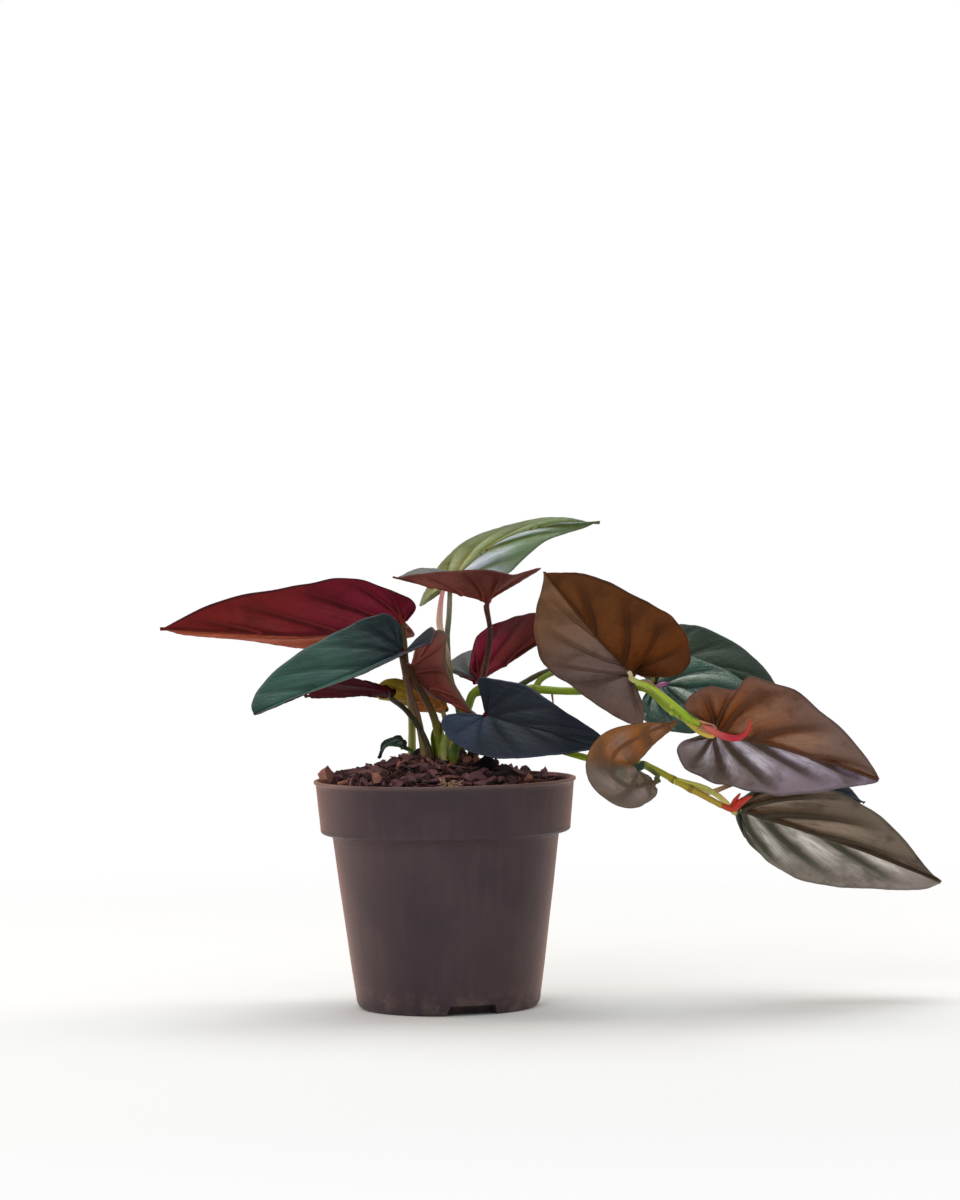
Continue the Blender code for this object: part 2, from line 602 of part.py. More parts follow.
def soil_profile():
    """The soil's flat top from its middle out to the wall, and its side down to the floor."""
    top = [(radius, SOIL_EDGE + SOIL_RAISE) for radius in SOIL_RINGS]
    wall = [point for point in pot_inside(SOIL_GAP) if SOIL_FOOT_HEIGHT < point[1] < SOIL_EDGE - 2]
    return (top + [(RIM_RADIUS - LIP_SLOPE - SOIL_GAP, SOIL_EDGE)] + wall
            + [(BASE_RADIUS + 1.1 - SOIL_GAP, SOIL_FOOT_HEIGHT), (SOIL_FOOT_RADIUS + 1, SOIL_FOOT_HEIGHT),
               (SOIL_FOOT_RADIUS, WALL + GAP), (0.0, WALL + GAP)])


def feet():
    """Every place where a stalk or stem goes into the soil, with its radius."""
    standing = (*STALKS.values(), *SHEATHS.values(), *VINES.values())
    return [(item.foot, item.radius[0]) for item in standing]


def add_chip(name, place, size, turn, tilt, collection, draw):
    """A broken piece of bark: a box with its corners moved, laid on the soil and sunk into it."""
    shape = bmesh.new()
    bmesh.ops.create_cube(shape, size=1.0)
    for vert in shape.verts:
        vert.co += Vector([draw.uniform(-CHIP_ROUGH, CHIP_ROUGH) for _ in range(3)])
        vert.co = Vector([edge * part * MM for edge, part in zip(vert.co, size)])
    turned_by = Euler([math.radians(angle) for angle in (tilt, -tilt * 0.6, turn)])
    height = soil_height(*place) + size[2] * 0.1
    at = Matrix.Translation(Vector((*place, height)) * MM)
    bmesh.ops.transform(shape, matrix=at @ turned_by.to_matrix().to_4x4(), verts=shape.verts)
    add_cutter(name, mesh_from(shape, name), collection)


def add_chips(collection):
    """The named bark pieces and a seeded scatter of smaller chips that keeps clear of the stalks."""
    draw = random.Random(11)
    for number, (place, size, turn, tilt) in enumerate(BARK):
        add_chip(f"bark_{number}", place, size, turn, tilt, collection, draw)
    made = 0
    while made < CHIPS:
        radius, angle = CHIP_REACH * math.sqrt(draw.random()), draw.uniform(0, 2 * math.pi)
        place = (radius * math.cos(angle), radius * math.sin(angle))
        if any(math.dist(place, foot) < CHIP_CLEAR + wide for foot, wide in feet()):
            continue
        size = [draw.uniform(*limits) for limits in (CHIP_LENGTH, CHIP_WIDTH, CHIP_THICKNESS)]
        turn, tilt = draw.uniform(0, 180), draw.uniform(-CHIP_TILT, CHIP_TILT)
        add_chip(f"chip_{made}", place, size, turn, tilt, collection, draw)
        made += 1


def stalk_holes(collection):
    """Cutters for the plain holes that the stalks and stems stand in."""
    for number, (foot, radius) in enumerate(feet()):
        low = soil_height(*foot) - STALK_DEPTH - GAP
        depth = STALK_DEPTH + HOLE_PAST
        wide = (radius + HOLE_GAP) * MM
        shape = bmesh.new()
        bmesh.ops.create_cone(
            shape, cap_ends=True, segments=HOLE_STEPS, radius1=wide, radius2=wide, depth=depth * MM)
        bmesh.ops.translate(shape, verts=shape.verts, vec=Vector((*foot, low + depth * 0.5)) * MM)
        add_cutter(f"stalk_hole_{number}", mesh_from(shape, "stalk_hole"), collection)


def make_soil():
    """The soil: a turned body with its top raised to a lumpy mound, bark on it and holes for the stalks."""
    soil = turned("soil", soil_profile(), SOIL_STEPS, PLANT, "soil")
    for vert in soil.data.vertices:
        if vert.co.z > (SOIL_EDGE + SOIL_RAISE * 0.5) * MM:
            vert.co.z = soil_height(vert.co.x / MM, vert.co.y / MM) * MM
    bark = cutters("bark")
    add_chips(bark)
    boolean(soil, "UNION", bark)
    holes = cutters("stalk_holes")
    stalk_holes(holes)
    boolean(soil, "DIFFERENCE", holes)
    return soil


clear_scene()
PLANT = make_collection("potted_syngonium")
CUTTERS = make_collection("cutters")
MATERIALS = {name: make_material(name) for name in COLOURS}

make_pot()
make_soil()
for leaf_name, leaf_spec in LEAVES.items():
    make_blade(leaf_name, leaf_spec)
for stalk_name, stalk_spec in STALKS.items():
    make_stalk(stalk_name, stalk_spec)
for sheath_name, sheath_spec in SHEATHS.items():
    make_sheath(sheath_name, sheath_spec)
for vine_name, vine_spec in VINES.items():
    make_vine(vine_name, vine_spec)
for shoot_name, shoot_spec in SHOOTS.items():
    make_shoot(shoot_name, shoot_spec)
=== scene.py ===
# %% [markdown]
# # A potted syngonium
#
# This lesson dresses a plain solid model of a house plant as the real thing: thin veined leaves, round stalks,
# loose bark soil and a thin plastic nursery pot. The solid model, called the frame, says where every piece is and
# how big it is. Every new piece is laid over its solid, so the plant keeps its size. Lengths in the tables are in
# millimetres and turn into metres where a mesh is made.

# %% The frame
import json
import math
import random
from collections import namedtuple

import bmesh
import bpy
import numpy as np
from mathutils import Euler, Matrix, Vector, noise

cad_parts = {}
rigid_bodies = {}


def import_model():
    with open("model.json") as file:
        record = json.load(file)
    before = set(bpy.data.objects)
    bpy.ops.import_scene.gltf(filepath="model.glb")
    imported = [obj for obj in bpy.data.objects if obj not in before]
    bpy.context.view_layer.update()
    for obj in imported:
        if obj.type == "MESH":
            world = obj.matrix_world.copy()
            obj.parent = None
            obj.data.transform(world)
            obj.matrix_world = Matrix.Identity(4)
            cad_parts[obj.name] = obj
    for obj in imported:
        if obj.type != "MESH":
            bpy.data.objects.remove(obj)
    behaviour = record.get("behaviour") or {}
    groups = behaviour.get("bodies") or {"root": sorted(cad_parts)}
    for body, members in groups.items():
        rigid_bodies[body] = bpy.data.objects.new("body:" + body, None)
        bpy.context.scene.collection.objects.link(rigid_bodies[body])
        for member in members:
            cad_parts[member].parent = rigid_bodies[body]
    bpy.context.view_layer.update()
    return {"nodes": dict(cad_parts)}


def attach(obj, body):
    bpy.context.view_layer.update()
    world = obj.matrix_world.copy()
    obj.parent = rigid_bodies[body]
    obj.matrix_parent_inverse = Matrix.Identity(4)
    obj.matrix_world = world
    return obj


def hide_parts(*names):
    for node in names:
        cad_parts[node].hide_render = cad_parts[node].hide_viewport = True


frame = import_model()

MM = 0.001
scene = bpy.context.scene
print("solids in the frame:", len(frame["nodes"]))

# %% [markdown]
# ## The camera
#
# A product picture is taken from far away with a long lens, so that near leaves don't look too large. The camera
# stands 1.9 m in front of the pot, a little above the plant, looks down by about a degree and leans by one degree.
# The lens is worked out from the focal length in picture points, because the picture is 960 by 1200 of them.

# %% The camera
PICTURE_HEIGHT = 1200
FOCAL_POINTS = 4133.0
CAMERA_PLACE = (17.65, -1900.0, 228.0)
CAMERA_PITCH = math.atan(89.6 / FOCAL_POINTS)
CAMERA_LEAN = math.radians(1.0)

camera = bpy.data.objects.new("camera", bpy.data.cameras.new("camera"))
scene.collection.objects.link(camera)
camera.data.sensor_width = 36.0
camera.data.lens = 36.0 * FOCAL_POINTS / PICTURE_HEIGHT
camera.data.clip_end = 100.0
lean = Matrix.Rotation(-CAMERA_LEAN, 4, "Z")
tilt = Matrix.Rotation(math.radians(90.0) - CAMERA_PITCH, 4, "X")
camera.matrix_world = Matrix.Translation(Vector(CAMERA_PLACE) * MM) @ tilt @ lean
scene.camera = camera
print("lens in millimetres:", round(camera.data.lens, 1))

# %% [markdown]
# ## Light and floor
#
# A pale studio is mostly light from all round, so the world is a soft white. The picture sees a brighter white than
# the plant does, because a fully white room would lie over every leaf as a grey haze. One large lamp above and
# behind gives the leaves their gleam, a weak one in front opens the shadows, and a warm one on each side draws a
# light edge down the pot. The floor is a wide disc that fades out far from the plant, so no horizon line shows.

# %% Light
BACKDROP = (1.0, 1.0, 1.0)
ROOM_COLOUR = (1.0, 0.99, 0.98)
ROOM_STRENGTH = 0.45
WARM = (1.0, 0.72, 0.58)

world = bpy.data.worlds.new("soft_white")
scene.world = world
world.use_nodes = True
nodes, links = world.node_tree.nodes, world.node_tree.links
room = nodes["Background"]
room.inputs["Color"].default_value = (*ROOM_COLOUR, 1.0)
room.inputs["Strength"].default_value = ROOM_STRENGTH
backdrop = nodes.new("ShaderNodeBackground")
backdrop.inputs["Color"].default_value = (*BACKDROP, 1.0)
seen = nodes.new("ShaderNodeLightPath")
choice = nodes.new("ShaderNodeMixShader")
links.new(seen.outputs["Is Camera Ray"], choice.inputs[0])
links.new(room.outputs[0], choice.inputs[1])
links.new(backdrop.outputs[0], choice.inputs[2])
links.new(choice.outputs[0], nodes["World Output"].inputs["Surface"])
scene.view_settings.view_transform = "Standard"


def soft_lamp(name, place, target, size, power, colour=(1.0, 1.0, 1.0)):
    """A square lamp that looks at the target."""
    lamp = bpy.data.lights.new(name, "AREA")
    lamp.shape = "SQUARE"
    lamp.size = size
    lamp.energy = power
    lamp.color = colour
    holder = bpy.data.objects.new(name, lamp)
    scene.collection.objects.link(holder)
    holder.location = place
    holder.rotation_euler = (Vector(target) - Vector(place)).to_track_quat("-Z", "Y").to_euler()
    print("lamp", name, power, "W")


soft_lamp("lamp_above", (0.1, 0.35, 1.3), (0.04, 0.0, 0.13), 0.8, 7.0)
soft_lamp("lamp_front", (-0.5, -1.2, 0.9), (0.04, 0.0, 0.12), 0.7, 4.5)
for name, across in (("lamp_left", -1.0), ("lamp_right", 1.1)):
    soft_lamp(name, (across, 0.3, 0.3), (0.0, 0.0, 0.08), 0.5, 5.0, WARM)

# %% [markdown]
# ## Helpers for finishes
#
# Every finish is a small network of nodes that ends in one shader. These helpers keep a network to one line per
# node: the first adds a node and either links or sets its inputs, the others make the few kinds that come again and
# again. Colours are written as they look on a screen, from 0 to 255, and are turned into the linear values that
# Blender mixes.

# %% Helpers for finishes
def paint(red, green, blue):
    """A linear colour from the values that a screen shows."""
    return tuple((part / 255.0 / 12.92 if part < 10.3 else ((part / 255.0 + 0.055) / 1.055) ** 2.4)
                 for part in (red, green, blue)) + (1.0,)


def new_finish(name, roughness, specular=0.5):
    """A material with its node tree and shader."""
    material = bpy.data.materials.new(name)
    material.use_nodes = True
    shader = material.node_tree.nodes["Principled BSDF"]
    shader.inputs["Roughness"].default_value = roughness
    shader.inputs["Specular IOR Level"].default_value = specular
    return material, material.node_tree, shader


def add(tree, kind, inputs=None, **settings):
    """Adds a node. Each input is a socket to link or a value to set."""
    node = tree.nodes.new("ShaderNode" + kind)
    for key, value in settings.items():
        setattr(node, key, value)
    for key, value in (inputs or {}).items():
        if isinstance(value, bpy.types.NodeSocket):
            tree.links.new(value, node.inputs[key])
        else:
            node.inputs[key].default_value = value
    return node


def sum_of(tree, operation, first, second=0.5, third=0.5):
    """The result of a Math node."""
    return add(tree, "Math", {0: first, 1: second, 2: third}, operation=operation).outputs[0]


def ramp(tree, value, low, high, to_low=0.0, to_high=1.0):
    """The value moved from one range to another with a soft start and end, held at both ends."""
    return add(tree, "MapRange", {0: value, 1: low, 2: high, 3: to_low, 4: to_high},
               interpolation_type="SMOOTHSTEP").outputs[0]


def blend(tree, factor, first, second):
    """Two colours mixed by a factor."""
    return add(tree, "Mix", {0: factor, 6: first, 7: second}, data_type="RGBA").outputs[2]


def stretched(tree, spot, stretch):
    """The same spot with each axis stretched, so that a pattern laid on it gets finer that way."""
    return add(tree, "Mapping", {"Vector": spot, "Scale": stretch}).outputs[0]


def place_on(tree, stretch=(1.0, 1.0, 1.0)):
    """The place on the object in metres, stretched along its axes."""
    return stretched(tree, add(tree, "TexCoord").outputs["Object"], stretch)


def uv_of(tree, name):
    """The place on one of the mesh's UV maps."""
    return add(tree, "UVMap", uv_map=name).outputs[0]


def axis_of(tree, spot, axis):
    """One of the three numbers of a place."""
    return add(tree, "SeparateXYZ", {0: spot}).outputs[axis]


def cloud(tree, spot, scale, detail=3.0, roughness=0.55):
    """Soft noise. A scale of 100 gives blobs about a centimetre across."""
    inputs = {"Vector": spot, "Scale": scale, "Detail": detail, "Roughness": roughness}
    return add(tree, "TexNoise", inputs).outputs[0]


def cells(tree, spot, scale):
    """The distance to the nearest border between cells, as in a leaf's finest veins."""
    return add(tree, "TexVoronoi", {"Vector": spot, "Scale": scale}, feature="DISTANCE_TO_EDGE").outputs["Distance"]


def relief(tree, shader, height, depth, strength=1.0, under=None):
    """Bumps of that depth in metres, laid over any earlier ones."""
    inputs = {"Height": height, "Distance": depth, "Strength": strength}
    if under:
        inputs["Normal"] = under
    bump = add(tree, "Bump", inputs).outputs[0]
    tree.links.new(bump, shader.inputs["Normal"])
    return bump


def attribute(tree, name):
    """A number that the mesh keeps on its points."""
    return add(tree, "Attribute", attribute_name=name).outputs["Fac"]


# %% The floor
FLOOR_RADIUS = 2.0
FLOOR_NEAR = 0.15
FLOOR_FAR = 0.8
FLOOR_COLOUR = (0.94, 0.99, 1.0)


def as_mesh(name, shape):
    """A mesh from a bmesh, which is freed."""
    mesh = bpy.data.meshes.new(name)
    shape.to_mesh(mesh)
    shape.free()
    return mesh


floor_finish, tree, shader = new_finish("floor_paper", 0.9, 0.1)
shader.inputs["Base Color"].default_value = (*FLOOR_COLOUR, 1.0)
reach = add(tree, "VectorMath", {0: place_on(tree)}, operation="LENGTH").outputs["Value"]
clear = add(tree, "BsdfTransparent").outputs[0]
fade = add(tree, "MixShader", {0: ramp(tree, reach, FLOOR_NEAR, FLOOR_FAR), 1: shader.outputs[0], 2: clear})
tree.links.new(fade.outputs[0], tree.nodes["Material Output"].inputs["Surface"])

shape = bmesh.new()
bmesh.ops.create_circle(shape, cap_ends=True, segments=96, radius=FLOOR_RADIUS)
floor = bpy.data.objects.new("floor", as_mesh("floor", shape))
scene.collection.objects.link(floor)
floor.data.materials.append(floor_finish)
print("floor radius in metres:", FLOOR_RADIUS)

# %% [markdown]
# ## Curves and grids
#
# Leaves, stalks, sheaths and root fibres are one idea: a flat grid whose points are laid over a surface that a
# function gives. A grid keeps its rows and columns in order, so it can also keep them as a UV map, and the finish
# can then run along a vein or round a stalk. The curve through a few points is the usual smooth one that passes
# through them all.

# %% Curves
FINE_STEPS = 20
SAME_PLACE = 0.002 * MM


def spline(points, at):
    """Points on the smooth curve through the given ones. at runs from 0 at the first to 1 at the last."""
    p = np.array(points, float)
    p = np.vstack([2 * p[0] - p[1], p, 2 * p[-1] - p[-2]])
    place = np.asarray(at, float) * (len(p) - 3)
    i = np.minimum(place.astype(int), len(p) - 4)
    t = (place - i)[:, None]
    a, b, c, d = p[i], p[i + 1], p[i + 2], p[i + 3]
    return b + 0.5 * t * (c - a + t * (2 * a - 5 * b + 4 * c - d + t * (3 * (b - c) + d - a)))


def even_route(points, count):
    """The smooth curve through the points as evenly spaced ones, with its length."""
    fine = spline(points, np.linspace(0, 1, FINE_STEPS * len(points)))
    run = np.concatenate([[0.0], np.cumsum(np.linalg.norm(np.diff(fine, axis=0), axis=1))])
    at = np.linspace(0, run[-1], count)
    return np.stack([np.interp(at, run, fine[:, k]) for k in range(3)], axis=1), run[-1]


def unit(vectors):
    """The same ways with a length of one."""
    return vectors / np.maximum(np.linalg.norm(vectors, axis=-1, keepdims=True), 1e-9)


def laid_grid(places, uv=None, closed=False, marks=None):
    """A bmesh grid laid over rows and columns of places in millimetres, with its UV map.

    A closed one is a tube: its last column lies on its first, and its ends are filled. marks is one more value for
    each row, kept in a second UV map.
    """
    rows, columns = places.shape[0] - 1, places.shape[1] - 1
    shape = bmesh.new()
    bmesh.ops.create_grid(shape, x_segments=columns, y_segments=rows, size=1.0)
    layer = shape.loops.layers.uv.new("grain")
    second = shape.loops.layers.uv.new("marks") if marks is not None else None
    for vert, place in zip(shape.verts, places.reshape(-1, 3)):
        vert.co = Vector(place) * MM
    for face in shape.faces:
        for loop in face.loops:
            row, column = divmod(loop.vert.index, columns + 1)
            loop[layer].uv = uv[row, column] if uv is not None else (column / columns, row / rows)
            if second:
                loop[second].uv = (marks[row], 0.0)
    if closed:
        bmesh.ops.remove_doubles(shape, verts=shape.verts, dist=SAME_PLACE)
        edges = [edge for edge in shape.edges if edge.is_boundary]
        bmesh.ops.holes_fill(shape, edges=edges, sides=0)
        bmesh.ops.recalc_face_normals(shape, faces=shape.faces)
    return shape


def new_piece(name, shape, *finishes):
    """An object from a bmesh, shaded smooth, with its finishes."""
    mesh = as_mesh(name, shape)
    piece = bpy.data.objects.new(name, mesh)
    scene.collection.objects.link(piece)
    for finish in finishes:
        mesh.materials.append(finish)
    mesh.shade_smooth()
    return piece


def blend_along(values, share):
    """Values that are spread evenly from 0 to 1, read at other shares of the way."""
    return np.interp(share, np.linspace(0, 1, len(values)), values)


def thicken(piece, thickness):
    """Gives a sheet its thickness below the side that it was laid on."""
    modifier = piece.modifiers.new("Thickness", "SOLIDIFY")
    modifier.thickness = thickness * MM
    modifier.offset = -1.0
    return modifier


def dress(piece, slot, *nodes):
    """The piece rides with the plant and stands for the frame's solids. Its slot is not used."""
    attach(piece, "root")
    if nodes:
        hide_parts(*nodes)
    return piece


# %% [markdown]
# ## The pot
#
# The real pot is thin plastic drawn over a mould. It has a rolled lip, a deep collar that steps in, a wall that
# tapers to a rounded foot, and raised recesses round the base that let water out. A turned profile makes all of it
# but the recesses. The profile is spun as an outer and an inner wall, the recesses are cut from both, and a fine
# bevel rounds what the cut leaves sharp.

# %% The pot's shape
POT_STEPS = 160
DRAINS = 3
DRAIN_TURN = -74.0
POT_WALL = 1.2
RECESS_IN, RECESS_OUT = 31.4, 48.0
RECESS_ROOF_HALF, RECESS_FOOT_HALF = 10.6, 13.1
RECESS_HEIGHT, RECESS_BELOW = 4.7, 3.0
HOLE_RADIUS = 2.4
HOLE_OUT, HOLE_HEIGHT = 35.4, 5.3

POT_OUTSIDE = (
    (0.0, 105.0), (59.1, 105.0), (59.7, 105.1), (60.2, 104.9), (60.4, 104.4), (60.3, 103.8), (59.8, 103.4),
    (59.4, 103.0), (59.2, 101.0), (58.6, 94.0), (57.9, 87.0), (57.6, 83.2), (57.5, 82.0), (57.2, 81.2),
    (56.6, 80.7), (55.8, 80.4), (54.0, 80.0), (52.9, 79.6), (52.3, 79.1), (52.0, 78.4), (51.2, 72.0),
    (49.4, 57.0), (47.0, 39.0), (44.6, 20.0), (42.6, 6.0), (42.3, 3.6), (41.9, 2.2), (41.1, 1.0),
    (40.2, 0.3), (39.4, 0.0), (0.0, 0.0))
POT_INSIDE = (
    (0.0, 108.0), (58.7, 108.0), (58.7, 104.9), (58.3, 104.2), (58.1, 103.2), (57.9, 101.0), (57.3, 94.0),
    (56.6, 87.0), (56.3, 83.4), (56.1, 82.5), (55.5, 81.9), (54.8, 81.6), (53.0, 81.2), (51.8, 80.7),
    (51.1, 80.0), (50.8, 79.0), (50.0, 72.0), (48.2, 57.0), (45.8, 39.0), (43.4, 20.0), (41.4, 6.0),
    (41.0, 3.4), (40.3, 2.1), (38.8, 1.3), (0.0, 1.3))


def turned(profile, steps):
    """A bmesh of a profile of radius and height, turned round the upright axis."""
    shape = bmesh.new()
    line = [shape.verts.new((radius * MM, 0.0, height * MM)) for radius, height in profile]
    edges = [shape.edges.new(pair) for pair in zip(line, line[1:])]
    bmesh.ops.spin(shape, geom=line + edges, cent=(0, 0, 0), axis=(0, 0, 1), angle=2 * math.pi,
                   steps=steps, use_merge=True)
    bmesh.ops.remove_doubles(shape, verts=shape.verts, dist=SAME_PLACE)
    bmesh.ops.recalc_face_normals(shape, faces=shape.faces)
    return shape


def recess_shape(grow):
    """A drain recess as a block with a narrower roof, grown by the wall for the inside."""
    shape = bmesh.new()
    bmesh.ops.create_cube(shape, size=1.0)
    for vert in shape.verts:
        upper = vert.co.z > 0
        vert.co.x = RECESS_OUT if vert.co.x > 0 else RECESS_IN - grow
        vert.co.y = math.copysign((RECESS_ROOF_HALF if upper else RECESS_FOOT_HALF) + grow, vert.co.y)
        vert.co.z = RECESS_HEIGHT + grow if upper else -RECESS_BELOW
    upright = [edge for edge in shape.edges if abs((edge.verts[0].co - edge.verts[1].co).z) > 2.0]
    bmesh.ops.bevel(shape, geom=upright, offset=POT_WALL, segments=3, profile=0.5, affect="EDGES", material=-1)
    bmesh.ops.scale(shape, vec=(MM, MM, MM), verts=shape.verts)
    return shape


def add_cutters(name, grow, holes=False):
    """A collection with a cutter for each drain recess, or for the round hole through each one's roof."""
    group = bpy.data.collections.new(name)
    for number in range(DRAINS):
        if holes:
            shape = bmesh.new()
            bmesh.ops.create_cone(shape, cap_ends=True, segments=24, radius1=HOLE_RADIUS * MM,
                                  radius2=HOLE_RADIUS * MM, depth=6 * MM)
            bmesh.ops.translate(shape, verts=shape.verts, vec=(HOLE_OUT * MM, 0, HOLE_HEIGHT * MM))
        else:
            shape = recess_shape(grow)
        turn = Matrix.Rotation(math.radians(DRAIN_TURN + number * 360.0 / DRAINS), 4, "Z")
        bmesh.ops.transform(shape, matrix=turn, verts=shape.verts)
        group.objects.link(bpy.data.objects.new(f"{name}_{number}", as_mesh(name, shape)))
    scene.collection.children.link(group)
    return group


def combine(piece, operation, group):
    """Cuts or joins the piece with a collection's objects for good, and removes them."""
    modifier = piece.modifiers.new("Boolean", "BOOLEAN")
    modifier.operation = operation
    modifier.operand_type = "COLLECTION"
    modifier.collection = group
    modifier.solver = "EXACT"
    modifier.material_mode = "TRANSFER"
    bpy.context.view_layer.update()
    made = bpy.data.meshes.new_from_object(piece.evaluated_get(bpy.context.evaluated_depsgraph_get()))
    piece.modifiers.clear()
    piece.data = made
    for other in list(group.objects):
        bpy.data.objects.remove(other, do_unlink=True)
    bpy.data.collections.remove(group)


# %% [markdown]
# The pot's plastic is a dark mauve brown. Recycled plastic is never one even colour: it has faint clouds and
# upright flow marks, fine scuffs and a little soil dust round the foot. Below the lip it has dark patches that grow
# thicker towards the lip, and the top of the lip is lighter as a painted highlight. The height on the object drives
# the dust, the dark patches and the highlight, and noise drives the rest. A warm sheen shows where the wall turns
# away from the viewer, as on matt plastic, and is held back at the step and round the foot.

# %% The pot's finish
# Heights in metres, as the finish reads them.
STEP_HEIGHT = 0.0808
LIP_HIGHLIGHT_BAND = (0.1026, 0.1048)
UNDER_LIP_BAND = (0.094, 0.104)
DUST_BAND = (0.016, 0.0)

pot_finish, tree, shader = new_finish("nursery_plastic", 0.45, 0.2)
shader.inputs["Sheen Roughness"].default_value = 0.35
shader.inputs["Sheen Tint"].default_value = (1.0, 0.5, 0.35, 1.0)
spot = place_on(tree)
height = axis_of(tree, spot, "Z")
from_step = sum_of(tree, "ABSOLUTE", sum_of(tree, "SUBTRACT", height, STEP_HEIGHT))
sheen = sum_of(tree, "MULTIPLY", ramp(tree, height, 0.002, 0.01, 0.0, 0.6),
               ramp(tree, from_step, 0.0008, 0.003, 0.15, 1.0))
tree.links.new(sheen, shader.inputs["Sheen Weight"])
clouds = cloud(tree, spot, 26.0, 4.0)
flow = cloud(tree, place_on(tree, (1.0, 1.0, 0.08)), 240.0, 2.0)
scuffs = cloud(tree, place_on(tree, (1.0, 1.0, 4.0)), 420.0, 5.0, 0.7)
colour = blend(tree, ramp(tree, clouds, 0.3, 0.72), paint(63, 51, 57), paint(73, 59, 63))
colour = blend(tree, ramp(tree, flow, 0.45, 0.8, 0.0, 0.1), colour, paint(108, 86, 82))
# A painted highlight: the top of the rolled lip is lighter, as where light catches it.
colour = blend(tree, ramp(tree, height, *LIP_HIGHLIGHT_BAND, 0.0, 0.4), colour, paint(134, 112, 108))
dust = sum_of(tree, "MULTIPLY", ramp(tree, height, *DUST_BAND, 0.0, 0.35),
              ramp(tree, cloud(tree, spot, 130.0, 5.0, 0.65), 0.42, 0.7))
colour = blend(tree, dust, colour, paint(140, 118, 104))
# Dark patches below the lip, thicker towards it.
under_lip_dark = sum_of(tree, "MULTIPLY", ramp(tree, height, *UNDER_LIP_BAND, 0.0, 0.4),
                ramp(tree, cloud(tree, spot, 300.0, 4.0, 0.7), 0.56, 0.7))
colour = blend(tree, under_lip_dark, colour, paint(52, 34, 28))
tree.links.new(colour, shader.inputs["Base Color"])
tree.links.new(ramp(tree, scuffs, 0.3, 0.8, 0.36, 0.56), shader.inputs["Roughness"])
first = relief(tree, shader, clouds, 0.0006, 0.35)
relief(tree, shader, scuffs, 0.00006, 0.4, first)

# %% The pot's pieces
pot = new_piece("nursery_pot", turned(POT_OUTSIDE, POT_STEPS), pot_finish)
hollow = new_piece("pot_hollow", turned(POT_INSIDE, POT_STEPS), pot_finish)
combine(hollow, "DIFFERENCE", add_cutters("inner_recess", POT_WALL))
combine(pot, "DIFFERENCE", add_cutters("outer_recess", 0.0))
hollow_group = bpy.data.collections.new("hollow")
scene.collection.children.link(hollow_group)
hollow_group.objects.link(hollow)
combine(pot, "DIFFERENCE", hollow_group)
combine(pot, "DIFFERENCE", add_cutters("drain_hole", 0.0, holes=True))
pot.data.shade_smooth()
pot.data.set_sharp_from_angle(angle=math.radians(40))
edges = pot.modifiers.new("Rounded edges", "BEVEL")
edges.width = 0.3 * MM
edges.segments = 2
edges.limit_method = "ANGLE"
edges.angle_limit = math.radians(45)
dress(pot, "pot", "pot")
print("pot faces:", len(pot.data.polygons))

# %% [markdown]
# ## The soil
#
# A potted house plant stands in a loose mix of peat, bark and coconut fibre. It lies in a low mound round the stalks
# and a little below the lip at the right. The bed is a square grid squeezed into a disc, raised by the same mound as
# the frame's soil and roughened by noise, with its edge drawn down inside the pot. Bark pieces and fibres are many
# small closed shapes in one mesh, drawn by a seeded rule, so they come out the same each time.

# %% The soil's bed
SOIL_EDGE = 100.5
SOIL_MOUND = 14.5
SOIL_MIDDLE = (-6.0, 0.0)
SOIL_SPREAD = 40.0
SOIL_LUMP = 1.8
SOIL_RADIUS = 56.6
SOIL_CELLS = 110
# How the bed's roughness comes back from the wall inwards, and the share of it that stays at the wall.
ROUGH_RISE, ROUGH_AT_WALL = 9.0, 0.25
# The profile below the bed's top, inside the pot, as radius and height.
SOIL_SIDE = ((56.0, 90.0), (55.4, 84.0), (54.0, 82.6), (50.4, 81.0), (49.4, 76.0), (42.8, 22.0), (40.4, 7.6),
             (29.5, 7.6), (28.5, 1.6))


def bumps(x, y, fineness, layer):
    """Noise from -1 to 1 at a place on the soil. Each layer is noise of its own."""
    return noise.noise(Vector((x * fineness, y * fineness, layer)))


def soil_height(x, y):
    """The height of the frame's soil in millimetres: a low mound with small lumps."""
    away = math.hypot(x - SOIL_MIDDLE[0], y - SOIL_MIDDLE[1])
    mound = SOIL_EDGE + SOIL_MOUND * math.exp(-(away / SOIL_SPREAD) ** 2)
    return mound + SOIL_LUMP * bumps(x, y, 0.16, 3.0)


def crumbs(x, y):
    """The small roughness of loose soil, in millimetres."""
    coarse = bumps(x, y, 0.42, 7.0) * 1.3
    fine = bumps(x, y, 1.1, 1.0) * 0.8
    return coarse + fine + abs(bumps(x, y, 0.25, 5.0)) * 1.2 - 0.6


